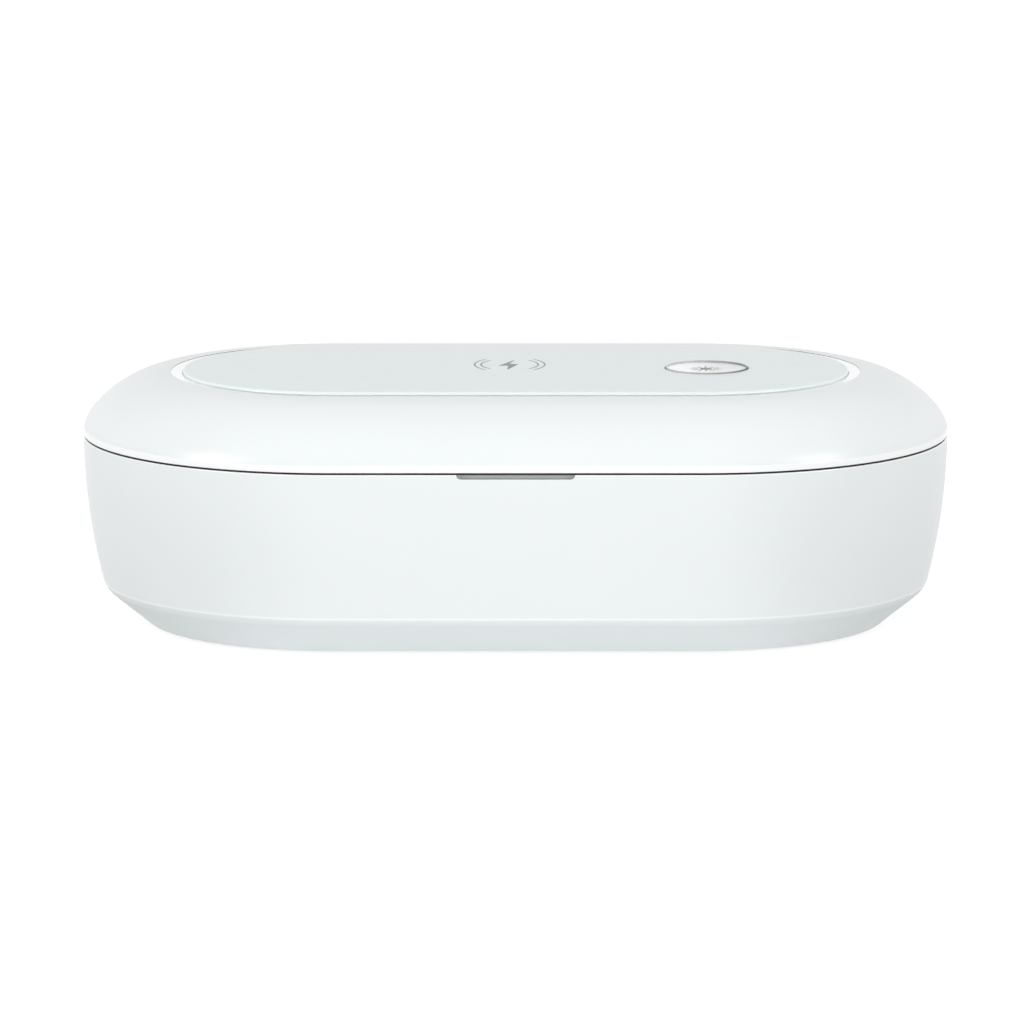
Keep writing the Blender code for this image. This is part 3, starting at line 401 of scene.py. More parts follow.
def round_where(piece, chosen, radius):
    """Round the sharp edges of a piece whose ends pass a test."""
    bm = bmesh.new()
    bm.from_mesh(piece.data)
    edges = [
        edge for edge in bm.edges
        if len(edge.link_faces) == 2 and edge.calc_face_angle() > sharp_angle
        and all(chosen(vert.co) for vert in edge.verts)
    ]
    round_off(bm, edges, radius, fine_round_steps)
    bm.to_mesh(piece.data)
    bm.free()


def distance_round(point):
    """How far a point lies from the straight line between the centres of the case's round ends."""
    return hypot(max(abs(point.x) - straight_half, 0.0), point.y)


def paint_where(piece, material, chosen):
    """Give another material to the faces of a piece that pass a test."""
    piece.data.materials.append(material)
    index = len(piece.data.materials) - 1
    for face in piece.data.polygons:
        if chosen(face.center):
            face.material_index = index


def finish_piece(piece, material, body, slot, *nodes):
    """Shade a piece, give it its material, and let it ride on its body in the place of its nodes."""
    piece.data.shade_smooth()
    piece.data.set_sharp_from_angle(angle=sharp_angle)
    piece.data.materials.clear()
    piece.data.materials.append(material)
    even = piece.modifiers.new("even shading", "WEIGHTED_NORMAL")
    even.keep_sharp = True
    apply_modifiers(piece)
    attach(piece, body)
    if nodes:
        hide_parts(*nodes)


# Materials

lamp_x = centre_of("base_uv_led_right").x
die_edge = (0.75 * mm, 0.8 * mm)
cloud_size = 30.0 * mm
cloud_share = 0.985
gloss_size = 4.0 * mm
grain_size = 0.35 * mm
brush_share = 0.9
brush_depth = 0.003 * mm


def feed(node, inputs):
    """Give a node's inputs plain values, or link them to the outputs of other nodes."""
    for place, value in inputs.items():
        if isinstance(value, bpy.types.NodeSocket):
            node.id_data.links.new(value, node.inputs[place])
        else:
            node.inputs[place].default_value = value


def add_node(tree, kind, inputs=None, **settings):
    """Add a shader node, named by the end of its type's name, with its settings and inputs."""
    node = tree.nodes.new("ShaderNode" + kind)
    for name, value in settings.items():
        setattr(node, name, value)
    feed(node, inputs or {})
    return node


def maths(tree, operation, *values):
    """One sum on plain values or on the outputs of other nodes."""
    return add_node(tree, "Math", dict(enumerate(values)), operation=operation).outputs[0]


def object_coordinates(tree):
    return add_node(tree, "TexCoord").outputs["Object"]


def place_along(tree, axis, fold=False):
    """A point's place along an axis; a fold makes both ends of the case alike."""
    place = add_node(tree, "SeparateXYZ", {0: object_coordinates(tree)}).outputs[axis]
    return maths(tree, "ABSOLUTE", place) if fold else place


def noise(tree, size, detail=2.0, vector=None):
    """Soft noise whose blotches are about one size across."""
    inputs = {"Vector": vector or object_coordinates(tree), "Scale": 1.0 / size, "Detail": detail}
    return add_node(tree, "TexNoise", inputs).outputs["Fac"]


def spread(tree, source, low, high, from_low=0.3, from_high=0.7):
    """Stretch a value over a range."""
    inputs = {"Value": source, "From Min": from_low, "From Max": from_high, "To Min": low, "To Max": high}
    return add_node(tree, "MapRange", inputs).outputs["Result"]


def mix_colours(tree, share, *colours):
    """Mix two colours by a share; either may be an output of another node."""
    first, second = [(*colour, 1.0) if isinstance(colour, tuple) else colour for colour in colours]
    return add_node(tree, "Mix", {0: share, 6: first, 7: second}, data_type="RGBA").outputs[2]


def darken(colour, share):
    return tuple(channel * share for channel in colour)


def shader_of(material):
    return material.node_tree.nodes["Principled BSDF"]


def start_material(name, colour, roughness, metallic=0.0):
    """A material with its even values set on its shader."""
    material = bpy.data.materials.new(name)
    material.use_nodes = True
    even = {"Base Color": (*colour, 1.0), "Roughness": roughness, "Metallic": metallic}
    feed(shader_of(material), even)
    return material, material.node_tree


def finish_material(material, inputs, height, depth, strength):
    """Give a material its patterns of tone and gloss, and a bump that is one depth high."""
    relief = {"Height": height, "Distance": depth, "Strength": strength}
    normal = add_node(material.node_tree, "Bump", relief).outputs["Normal"]
    feed(shader_of(material), {"Normal": normal, **inputs})
    return material


def moulded_plastic(name, colour, roughness, grain_depth=0.004 * mm):
    """Moulded plastic: a very fine grain, a slight unevenness of gloss and faint clouds of tone."""
    material, tree = start_material(name, colour, roughness)
    return finish_material(material, {
        "Base Color": mix_colours(tree, noise(tree, cloud_size), darken(colour, cloud_share), colour),
        "Roughness": spread(tree, noise(tree, gloss_size), roughness * 0.92, roughness * 1.08),
    }, noise(tree, grain_size), grain_depth, 0.5)


white_plastic = moulded_plastic("white_shell_plastic", (0.813, 0.848, 0.853), 0.32)
panel_plastic = moulded_plastic("panel_plastic", (0.765, 0.828, 0.83), 0.3, 0.003 * mm)
# The button's plastic is grey, with a painted highlight: near white towards its left side
button_plastic = moulded_plastic("button_plastic", (0.6, 0.63, 0.635), 0.2, 0.001 * mm)
liner_plastic = moulded_plastic("liner_plastic", (0.7, 0.72, 0.73), 0.42, 0.01 * mm)
seal_rubber = moulded_plastic("seal_rubber", (0.02, 0.021, 0.022), 0.65, 0.02 * mm)
lid_plastic = moulded_plastic("lid_shell_plastic", (0.818, 0.852, 0.857), 0.32)
# The chamfer's plastic, lighter than the wall's, with painted shade: darker towards the chamfer's top, just under
# the highlight line
shaded_chamfer_plastic = moulded_plastic("chamfer_with_painted_shade", (0.88, 0.935, 0.94), 0.4, 0.005 * mm)
# Painted highlight: lighter plastic for the bright line at the base's crease, its rounded rim and the lid's lip
# band
painted_highlight_plastic = moulded_plastic("painted_highlight_plastic", (0.95, 0.965, 0.965), 0.12, 0.001 * mm)
# Painted highlight: the glossy bevel round the panel is near white at both ends of the case and greyer towards the
# middle
glossy_bevel_painted_highlight = moulded_plastic("glossy_bevel_with_painted_highlight", (0.95, 0.965, 0.965), 0.08, 0.0005 * mm)
# Painted shade in the finger notch: grey walls, and a darker floor below
notch_painted_shade = moulded_plastic("notch_painted_shade", (0.5, 0.51, 0.51), 0.45)
notch_shade = moulded_plastic("notch_shade", (0.3, 0.31, 0.31), 0.5)
# Painted shade: the lid's tiny crest step is near black, for the dark shade line at the crest
crest_shade = moulded_plastic("crest_shade", (0.14, 0.143, 0.143), 0.6)
# Painted shade: the panel's side below its rounded edge is grey, darker towards the front
panel_side_painted_shade = moulded_plastic("panel_side_painted_shade", (0.78, 0.79, 0.79), 0.45)
# Painted shade: the raised ring round the button is dark grey for the dark outline at its edge, lighter towards
# the left
ring_painted_shade = moulded_plastic("button_ring_painted_shade", (0.22, 0.225, 0.225), 0.35, 0.002 * mm)
print_ink = moulded_plastic("print_ink", (0.28, 0.28, 0.27), 0.5, 0.002 * mm)
foot_rubber = moulded_plastic("foot_rubber", (0.3, 0.31, 0.32), 0.75, 0.03 * mm)
carrier_plastic = moulded_plastic("carrier_plastic", (0.6, 0.62, 0.63), 0.5, 0.02 * mm)


def brushed_metal(name, colour, roughness, brush_size, brush_length):
    """Metal with fine brush lines along the case."""
    material, tree = start_material(name, colour, roughness, 1.0)
    stretch = {"Vector": object_coordinates(tree), "Scale": (brush_size / brush_length, 1.0, 1.0)}
    along = add_node(tree, "Mapping", stretch).outputs["Vector"]
    lines = noise(tree, brush_size, vector=along)
    return finish_material(material, {
        "Base Color": mix_colours(tree, lines, darken(colour, brush_share), colour),
        "Roughness": spread(tree, lines, roughness * 0.8, roughness * 1.25),
    }, lines, brush_depth, 0.4)


def sintered(name, colour, lighter, roughness, grain_size, grain_depth):
    """A pressed or cast body with light specks and a rough grain."""
    material, tree = start_material(name, colour, roughness)
    grain = noise(tree, grain_size, 4.0)
    return finish_material(material, {
        "Base Color": mix_colours(tree, spread(tree, grain, 0.0, 1.0, 0.5, 0.75), colour, lighter),
        "Roughness": spread(tree, grain, roughness * 0.85, roughness * 1.15),
    }, grain, grain_depth, 0.6)


def circuit_board():
    """Green lacquer over copper tracks, which run as a grid of short straight lines."""
    green = (0.02, 0.16, 0.075)
    material, tree = start_material("circuit_board", green, 0.35)
    tracks = add_node(tree, "TexBrick", {
        "Vector": object_coordinates(tree), "Scale": 1.0, "Brick Width": 4.0 * mm,
        "Row Height": 1.1 * mm, "Mortar Size": 0.12 * mm, "Mortar Smooth": 0.2,
        "Color1": (*green, 1.0), "Color2": (0.025, 0.18, 0.085, 1.0), "Mortar": (0.06, 0.3, 0.15, 1.0),
    }).outputs
    return finish_material(material, {"Base Color": tracks["Color"]}, tracks["Fac"], 0.03 * mm, 0.5)


def coil_wire():
    """Lacquered copper with small changes of tone along the winding."""
    copper = (0.72, 0.33, 0.16)
    material, tree = start_material("coil_wire", copper, 0.3, 1.0)
    tone = mix_colours(tree, noise(tree, 2.5 * mm, 3.0), (0.62, 0.25, 0.11), copper)
    inputs = {"Base Color": tone, "Coat Weight": 0.6}
    return finish_material(material, inputs, noise(tree, 0.3 * mm), 0.005 * mm, 0.4)


def lamp_ceramic():
    """A lamp's pale ceramic body with its darker square die in the middle."""
    ceramic = (0.82, 0.79, 0.7)
    material, tree = start_material("lamp_ceramic", ceramic, 0.4)
    along = maths(tree, "ABSOLUTE", maths(tree, "SUBTRACT", place_along(tree, "X", True), lamp_x))
    far = maths(tree, "MAXIMUM", along, place_along(tree, "Y", True))
    tone = mix_colours(tree, spread(tree, far, 1.0, 0.0, *die_edge), ceramic, (0.35, 0.3, 0.42))
    return finish_material(material, {"Base Color": tone}, noise(tree, 0.2 * mm), 0.005 * mm, 0.4)


def quartz_glass():
    """Clear quartz with the faintest unevenness."""
    material, tree = start_material("quartz_glass", (0.93, 0.95, 1.0), 0.04)
    gloss = spread(tree, noise(tree, 3.0 * mm), 0.02, 0.07)
    inputs = {"Transmission Weight": 1.0, "IOR": 1.46, "Roughness": gloss}
    return finish_material(material, inputs, noise(tree, 2.0 * mm), 0.002 * mm, 0.3)


def set_gloss(material, metallic, coat):
    """Give a finish a clear coat and some metal in its lacquer."""
    feed(shader_of(material), {"Metallic": metallic, "Coat Weight": coat})


def grade(material, axis, span, other, fold=False):
    """Let a material's colour change to another over a span of one axis; each use below paints shade or a
    highlight.
    """
    tree = material.node_tree
    share = spread(tree, place_along(tree, axis, fold), 0.0, 1.0, *span)
    plain = shader_of(material).inputs["Base Color"].links[0].from_socket
    feed(shader_of(material), {"Base Color": mix_colours(tree, share, plain, other)})


# Where the painted shade and highlights start and end
fillet_span = (chamfer_top - 1.6 * mm, chamfer_top + 1.0 * mm)
bevel_span = (straight_half + 34.0 * mm, straight_half + 26.0 * mm)
panel_side_span = (-20.0 * mm, -34.0 * mm)
dish_span = (button_x + 4.0 * mm, button_x - 6.0 * mm)
ring_span = (button_x + 9.0 * mm, button_x - 9.0 * mm)

# Painted shade: the chamfer darkens towards its top
grade(shaded_chamfer_plastic, "Z", fillet_span, (0.79, 0.84, 0.845))
# Painted highlight on the bevel, whitest at the case's ends
grade(glossy_bevel_painted_highlight, "X", bevel_span, (0.82, 0.85, 0.855), fold=True)
# Painted shade on the panel's side, darker towards the front
grade(panel_side_painted_shade, "Y", panel_side_span, (0.62, 0.63, 0.63))
# Painted highlight: the button near white towards its left
grade(button_plastic, "X", dish_span, (0.97, 0.98, 0.975))
# Painted shade on the button's ring, lighter towards the left
grade(ring_painted_shade, "X", ring_span, (0.5, 0.51, 0.51))
set_gloss(glossy_bevel_painted_highlight, 0.5, 1.0)
set_gloss(button_plastic, 0.3, 0.8)
contact_gold = brushed_metal("contact_gold", (0.83, 0.6, 0.26), 0.25, 0.1 * mm, 1.0 * mm)

slot_finishes = {
    "shell": white_plastic,
    "panel": panel_plastic,
    "button": button_plastic,
    "liner": carrier_plastic,
    "seal": seal_rubber,
    "foot": foot_rubber,
    "steel": brushed_metal("steel", (0.62, 0.62, 0.63), 0.3, 0.12 * mm, 3.0 * mm),
    "magnet": brushed_metal("nickel", (0.66, 0.64, 0.6), 0.2, 0.2 * mm, 1.0 * mm),
    "copper": coil_wire(),
    "ferrite": sintered("ferrite", (0.05, 0.05, 0.055), (0.12, 0.12, 0.125), 0.6, 0.5 * mm, 0.02 * mm),
    "board": circuit_board(),
    "chip": sintered("chip_body", (0.018, 0.018, 0.02), (0.05, 0.05, 0.05), 0.5, 0.25 * mm, 0.01 * mm),
    "lamp": lamp_ceramic(),
    "quartz": quartz_glass(),
}


# Base

def base_section():
    ledge_top = ledge_bottom + ledge_thickness
    shelf_top = flange_top - flange_thickness - fit_gap
    shelf_bottom = shelf_top - shelf_thickness
    shelf_inner = seat_outer - seat_width
    inner_foot = bottom_radius + chamfer_lean * (ledge_top - stand_off)
    inner_foot -= wall * hypot(1.0, chamfer_lean)
    bow = [base_rim + (chamfer_top - base_rim) * step / bow_steps for step in range(1, bow_steps)]
    return [
        (half_width, base_rim, rim_round),
        *[(wall_radius(z), z) for z in bow],
        (foot_radius, chamfer_top, chamfer_fillet),
        (bottom_radius, stand_off, bottom_round),
        (cover_opening, stand_off, lip_round),
        (cover_opening, ledge_bottom),
        (ledge_radius, ledge_bottom),
        (ledge_radius, ledge_top),
        (inner_foot, ledge_top),
        (foot_radius - wall, chamfer_top + wall / 2, chamfer_fillet - wall),
        (wall_radius(seam / 2) - wall, seam / 2),
        (wall_radius(shelf_bottom) - wall, shelf_bottom),
        (shelf_inner, shelf_bottom),
        (shelf_inner, shelf_top),
        (seat_outer, shelf_top),
        (seat_outer, base_rim - rim_rib_drop, lip_round),
        (groove_inner, base_rim - rim_rib_drop, lip_round),
        (groove_inner, groove_floor),
        (groove_outer, groove_floor),
        (groove_outer, base_rim, lip_round / 2),
    ]


def add_base_hinge(housing):
    """The half-round ridge on the rear edge, open in the middle for the lid's barrel."""
    ridge = make_mesh("ridge", hinge_bars(barrel_radius, [(-ridge_half, ridge_half)]))
    trim_radius = hinge_point.y + barrel_radius - barrel_flat
    trim = [(trim_radius, seam + rise) for rise in (-2 * barrel_radius, 2 * barrel_radius)]
    work(ridge, sweep_case(trim, closed=False), "INTERSECT")
    bm = bmesh.new()
    bm.from_mesh(ridge.data)
    bpy.data.objects.remove(ridge)
    weld(housing, bm)
    gap_half = lid_barrel_half + run_gap
    cut(housing, hinge_bars(relief_radius, [(-gap_half, gap_half)]))
    cut(housing, hinge_block(gap_half, -relief_radius, relief_radius, 0.0, overrun + barrel_radius))
    reach = gap_half + pin_slot_half
    spans = [(-reach, -lid_barrel_half), (lid_barrel_half, reach)]
    cut(housing, hinge_bars(pin_hole_radius, spans))


def cut_port(housing):
    """The opening for the socket in the rear wall, with a shallow recess round it."""
    z = (socket_low.z + socket_high.z) / 2
    wall_y = wall_radius(z)
    width = socket_high.x - socket_low.x + 2 * fit_gap
    height = socket_high.z - socket_low.z + 2 * fit_gap
    cut(housing, slot_bar(width, height, wall_y - wall - overrun, wall_y + overrun, z))
    inner_y = wall_y - port_recess_depth
    cut(housing, slot_bar(port_recess_width, port_recess_height, inner_y, wall_y + overrun, z))

    def at_mouth(point):
        return abs(point.y - wall_y) < port_edge_spare and abs(point.x) < port_recess_width

    round_where(housing, at_mouth, port_edge_round)


def cut_notch(housing):
    """The finger notch in the front of the rim, with its two lower corners and its edge rounded."""
    low = Vector((-notch_width / 2, -half_width - notch_depth, base_rim - notch_drop))
    high = Vector((notch_width / 2, -half_width + notch_depth, base_rim + overrun))
    bm = block(low, high)
    corners = [
        edge for edge in edges_along_y(bm) if all(vert.co.z < base_rim for vert in edge.verts)
    ]
    round_off(bm, corners, notch_round, notch_steps)
    backing_low = (low.x - notch_wall, -groove_outer - notch_wall, groove_floor - notch_wall)
    backing_high = (high.x + notch_wall, high.y + notch_wall, base_rim - notch_back_drop)
    weld(housing, block(backing_low, backing_high))
    cut(housing, bm)

    def at_wall(point):
        across = abs(point.x) < notch_width / 2 + merge_gap
        return across and abs(point.y + half_width) < notch_edge and point.z < base_rim - rim_round

    round_where(housing, at_wall, notch_edge)


def inside_notch(point):
    across = abs(point.x) < notch_width / 2 + merge_gap
    deep = notch_edge < point.y + half_width < notch_depth + merge_gap
    return across and deep and point.z > base_rim - notch_drop - merge_gap


def on_notch_floor(point):
    return inside_notch(point) and point.z < base_rim - notch_drop + merge_gap


def make_base_housing():
    """The base, with a painted highlight line where its wall turns into the chamfer of its foot, and painted shade
    on that chamfer.
    """
    wall_lean = asin((seam - chamfer_top) / bow_radius)
    turn = atan(chamfer_lean) - wall_lean
    line_top = chamfer_top + chamfer_fillet * tan(turn / 2)
    line_bottom = line_top - edge_line_width

    def on_edge_line(point):
        return line_bottom < point.z < line_top and distance_round(point) > foot_radius - wall / 2

    def on_chamfer(point):
        outer = bottom_radius + chamfer_lean * (point.z - stand_off)
        return stand_off < point.z < line_bottom and distance_round(point) > outer - wall / 2

    def on_rim(point):
        return point.z > base_rim - rim_round and distance_round(point) > groove_outer + lip_round

    housing = make_mesh("base_housing", sweep_case(base_section()))
    add_base_hinge(housing)
    cut_port(housing)
    cut_notch(housing)
    finish_piece(housing, white_plastic, "base", "shell", "base_shell")
    # The chamfer gets its plastic with painted shade
    paint_where(housing, shaded_chamfer_plastic, on_chamfer)
    # Painted highlight along the crease between wall and chamfer
    paint_where(housing, painted_highlight_plastic, on_edge_line)
    # Painted highlight on the rounded rim of the base
    paint_where(housing, painted_highlight_plastic, on_rim)
    # Painted shade inside the finger notch, darker on its floor
    paint_where(housing, notch_painted_shade, inside_notch)
    paint_where(housing, notch_shade, on_notch_floor)


def make_seal_strip():
    outer = groove_outer - fit_gap
    inner = groove_inner + fit_gap
    points = [
        (outer, seal_low.z), (outer, seal_high.z, lip_round), (inner, seal_high.z, lip_round),
        (inner, seal_low.z),
    ]
    strip = make_mesh("seal_strip", sweep_case(points))
    clear_rear(strip, seal_low.z, seal_high.z)
    reach = notch_width / 2 + fit_gap
    low = (-reach, -half_width, seal_low.z - overrun)
    high = (reach, -half_width + notch_depth + notch_wall + fit_gap, seal_high.z + overrun)
    cut(strip, block(low, high))
    finish_piece(strip, seal_rubber, "base", "seal", "rim_seal")


# Lid

def lid_section():
    recess_floor = panel_bottom - fit_gap
    under = recess_floor - lid_ledge_thickness
    ledge_inner = recess_radius - lid_ledge_width
    lip = Vector((half_width, lid_rim + lid_lip))
    crest = Vector((crest_radius, crest_z))
    side = lip + Vector((0.0, dome_side_handle))
    top = crest + dome_top_handle * Vector((cos(dome_top_angle), sin(dome_top_angle)))
    dome = interpolate_bezier(lip, side, top, crest, dome_steps)
    inward = Vector((-wall, -wall / 2))
    handles = [corner + inward for corner in (lip, side, top, crest)]
    inner = interpolate_bezier(*handles, inner_dome_steps)
    rim_inner = half_width - lid_rim_width
    return [
        (half_width, lid_rim, rim_round),
        *dome[:-1],
        (crest_radius, crest_z),
        (crest_radius, bevel_outer_z),
        (recess_radius, bevel_inner_z, crest_round),
        (recess_radius, recess_floor),
        (ledge_inner, recess_floor),
        (ledge_inner, under),
        (recess_radius, under),
        *reversed(inner[1:-1]),
        (half_width - wall, lid_rim + lid_rim_rise),
        (rim_inner, lid_rim + lid_rim_rise),
        (rim_inner, lid_rim, lip_round),
    ]


def add_lid_hinge(housing):
    """Clear the rear edge round the hinge and weld on the barrel with its web, bored for the pins."""
    reach = ridge_half + run_gap
    cut(housing, hinge_bars(relief_radius, [(-reach, reach)]))
    cut(housing, hinge_block(reach, -relief_radius, 2 * overrun, -overrun, 0.0))
    cut(housing, hinge_block(reach, 0.0, 2 * overrun, -overrun, lid_heel))
    weld(housing, hinge_block(lid_barrel_half, web_inset - barrel_radius, -web_inset, 0.0, web_rise))
    weld(housing, hinge_bars(barrel_radius, [(-lid_barrel_half, lid_barrel_half)]))
    cut(housing, hinge_bars(pin_hole_radius, [
        (-lid_barrel_half - overrun, -pin_slot_half), (pin_slot_half, lid_barrel_half + overrun)
    ]))


def make_lid_housing():
    housing = make_mesh("lid_housing", sweep_case(lid_section()))
    add_lid_hinge(housing)
    finish_piece(housing, lid_plastic, "lid", "shell", "lid_shell")

    def on_bevel(point):
        high_up = point.z > bevel_inner_z - crest_round
        return high_up and recess_radius < distance_round(point) < crest_radius - crest_round

    def on_crest_wall(point):
        at_crest = abs(distance_round(point) - crest_radius) < crest_round / 2
        return at_crest and bevel_outer_z < point.z < crest_z

    def on_lip(point):
        at_side = distance_round(point) > half_width - 2 * rim_round
        return at_side and 0.0 < point.z - lid_rim < lip_band_rise

    # The bevel round the panel gets its painted highlight
    paint_where(housing, glossy_bevel_painted_highlight, on_bevel)
    # Painted shade on the crest's small step
    paint_where(housing, crest_shade, on_crest_wall)
    # Painted highlight on the band just above the lid's lower edge
    paint_where(housing, painted_highlight_plastic, on_lip)


# Panel

panel_gap = 0.12 * mm
panel_edge = recess_radius - panel_gap
panel_round = 0.78 * mm
panel_flat = 20.0 * mm
button_lip_radius = radius_of("button_cap")
button_lip_width = 0.8 * mm
hole_radius = button_lip_radius - button_lip_width
hole_edge = 0.15 * mm


def make_top_panel():
    inner = panel_edge - panel_flat
    points = [
        (inner, panel_bottom), (panel_edge, panel_bottom), (panel_edge, panel_top, panel_round),
        (inner, panel_top),
    ]
    panel = make_mesh("top_panel", sweep_case(points, closed=False))
    drill(panel, [(button_x, 0.0)], hole_radius, panel_bottom - overrun, panel_top + overrun)

    def at_hole(point):
        across = hypot(point.x - button_x, point.y)
        return abs(across - hole_radius) < touch_gap and point.z > panel_top - merge_gap

    def on_side(point):
        return distance_round(point) > panel_edge - crest_round and point.z < panel_top - panel_round

    round_where(panel, at_hole, hole_edge)
    finish_piece(panel, panel_plastic, "lid", "panel", "charging_panel")
    # Painted shade on the panel's side
    paint_where(panel, panel_side_painted_shade, on_side)


# Button

button_dish = 0.2 * mm
dish_flat = 5.0 * mm
button_ring_width = 0.2 * mm
button_ring_rise = 0.3 * mm
button_ring_gap = 0.35 * mm
button_ring_round = 0.05 * mm
button_lip_thickness = 0.8 * mm
button_stem_radius = 2.0 * mm
dish_steps = 12


def make_button():
    """The cap with its flat dish, a fine raised ring round its edge, its stop lip and its stem."""
    lip_top = panel_bottom - fit_gap
    lip_bottom = lip_top - button_lip_thickness
    cap_radius = hole_radius - fit_gap
    ring_outer = hole_radius - button_ring_gap
    ring_inner = ring_outer - button_ring_width
    ring_top = panel_top + button_ring_rise
    dish_floor = panel_top - button_dish
    points = [(0.0, dish_floor), (dish_flat, dish_floor)]
    for step in range(1, dish_steps + 1):
        share = step / dish_steps
        radius = dish_flat + (ring_inner - dish_flat) * share
        points.append((radius, dish_floor + button_dish * share ** 2))
    points += [
        (ring_inner, ring_top, button_ring_round), (ring_outer, ring_top, button_ring_round),
        (ring_outer, dish_floor), (cap_radius, panel_top - 2 * button_dish),
        (cap_radius, lip_top), (button_lip_radius, lip_top), (button_lip_radius, lip_bottom),
        (button_stem_radius, lip_bottom), (button_stem_radius, button_low.z),
        (0.0, button_low.z),
    ]
    button = make_mesh("button_face", turn_at("button_cap", points))
    # The button gets its plastic with a painted highlight
    finish_piece(button, button_plastic, "button", "button", "button_cap")

    def on_ring(point):
        outside = hypot(point.x - button_x, point.y) > ring_inner - button_ring_round / 2
        return outside and point.z > dish_floor

    # Painted shade on the raised ring
    paint_where(button, ring_painted_shade, on_ring)


# Marks printed on the panel and the button

print_thickness = 0.02 * mm
sign_place = Vector((-1.5, 5.3, 0.0)) * mm
arc_stroke = 0.42 * mm
arc_sizes = ((15.0, 8.97, 8.8), (11.4, 7.3, 6.9))
sign_arc_steps = 24
bolt_points = ((1.4, 7.8), (-2.85, -2.0), (-0.4, -1.9), (-0.6, -8.7), (2.2, 0.4), (-0.1, 1.3))
icon_place = Vector((button_x - 0.2 * mm, -0.5 * mm, 0.0))
sun_radius = 1.6 * mm
sun_steps = 32
sun_rays = 12
ray_stroke = 0.38 * mm
ray_start = 2.1 * mm
ray_end = 3.9 * mm


def print_mark(name, bm, place, height, body, slot):
    """Put flat shapes on a surface at this height, with the thickness of ink, as a piece of their own."""
    move(bm, bm.verts, place)
    move(bm, bm.verts, (0.0, 0.0, height))
    grown = bmesh.ops.extrude_face_region(bm, geom=bm.faces[:])["geom"]
    move(bm, only(BMVert, grown), (0.0, 0.0, print_thickness))
    finish_piece(make_mesh(name, bm), print_ink, body, slot)


def draw_arc(bm, side, radius, reach, half_height):
    """One arc of the charging sign, standing at its side of the bolt."""
    half_angle = asin(half_height / radius)
    centre = Vector((side * (reach - radius), 0.0, 0.0))
    start = Vector((side, 0.0, 0.0))
    start.rotate(Matrix.Rotation(-half_angle, 3, "Z"))
    ends = [bm.verts.new(centre + start * (radius + arc_stroke * edge)) for edge in (-0.5, 0.5)]
    line = bm.edges.new(ends)
    bmesh.ops.spin(
        bm, geom=ends + [line], cent=centre, axis=(0.0, 0.0, 1.0), angle=2 * half_angle,
        steps=sign_arc_steps,
    )


def make_charging_sign():
    """The charging sign in the middle of the panel: a bolt between two pairs of arcs."""
    bm = bmesh.new()
    for side in (-1.0, 1.0):
        for sizes in arc_sizes:
            draw_arc(bm, side, *[size * mm for size in sizes])
    bm.faces.new([bm.verts.new((x * mm, y * mm, 0.0)) for x, y in bolt_points])
    print_mark("charging_sign", bm, sign_place, panel_top, "lid", "panel")


def make_button_icon():
    """A lamp sign on the flat of the button's dish: a disc in a ring of short rays."""
    bm = bmesh.new()
    bmesh.ops.create_circle(bm, cap_ends=True, segments=sun_steps, radius=sun_radius)
    for ray in range(sun_rays):
        corners = bmesh.ops.create_grid(bm, x_segments=1, y_segments=1, size=0.5)["verts"]
        bmesh.ops.scale(bm, verts=corners, vec=(ray_end - ray_start, ray_stroke, 1.0))
        move(bm, corners, ((ray_end + ray_start) / 2, 0.0, 0.0))
        bmesh.ops.rotate(bm, verts=corners, matrix=Matrix.Rotation(tau * ray / sun_rays, 3, "Z"))
    print_mark("button_icon", bm, icon_place, panel_top - button_dish, "button", "button")


# Inside of the base

tray_wall = 1.6 * mm
tray_draft = 1.5 * mm
tray_fillet = 5.0 * mm
tray_thickness = 2.0 * mm
tray_flat = 30.0 * mm
chamber_radius = seat_outer - seat_width - fit_gap - tray_wall
tray_floor = tray_low.z + tray_thickness
mouth_round = 0.6 * mm
rib_thickness = 1.6 * mm
rib_length = 70.0 * mm
rib_rise = 3.0 * mm
rib_round = 0.5 * mm
rib_places = (-54.0 * mm, -18.0 * mm, 18.0 * mm, 54.0 * mm)
lamp_hole_radius = 3.0 * mm


def make_chamber_bowl():
    """The chamber's bowl with its four phone ribs and the lower lamps' windows let into its floor."""
    floor_radius = chamber_radius - tray_draft
    flange_radius = seat_outer - fit_gap
    points = [
        (tray_flat, tray_floor), (floor_radius, tray_floor, tray_fillet),
        (chamber_radius, flange_top, mouth_round), (flange_radius, flange_top, lip_round),
        (flange_radius, flange_top - flange_thickness),
        (chamber_radius + tray_wall, flange_top - flange_thickness),
        (floor_radius + tray_wall, tray_low.z, tray_fillet + tray_wall), (tray_flat, tray_low.z),
    ]
    bowl = make_mesh("chamber_bowl", sweep_case(points, closed=False))
    for x in rib_places:
        low = (x - rib_thickness / 2, -rib_length / 2, tray_floor - tray_wall / 2)
        rib = block(low, (x + rib_thickness / 2, rib_length / 2, tray_floor + rib_rise))
        upper = [e for e in rib.edges if max(v.co.z for v in e.verts) > tray_floor]
        round_off(rib, upper, rib_round)
        weld(bowl, rib)
    sink_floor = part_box("base_uv_window_left")[0].z - fit_gap
    windows = flat_places("base_uv_window_", sides)
    sink_radius = radius_of("base_uv_window_left") + fit_gap
    drill(bowl, windows, lamp_hole_radius, tray_low.z - overrun, tray_floor + overrun)
    drill(bowl, windows, sink_radius, sink_floor, tray_floor + rib_rise + overrun)
    clear_rear(bowl, flange_top, flange_top)
    finish_piece(bowl, liner_plastic, "base", "liner", "chamber_tray")


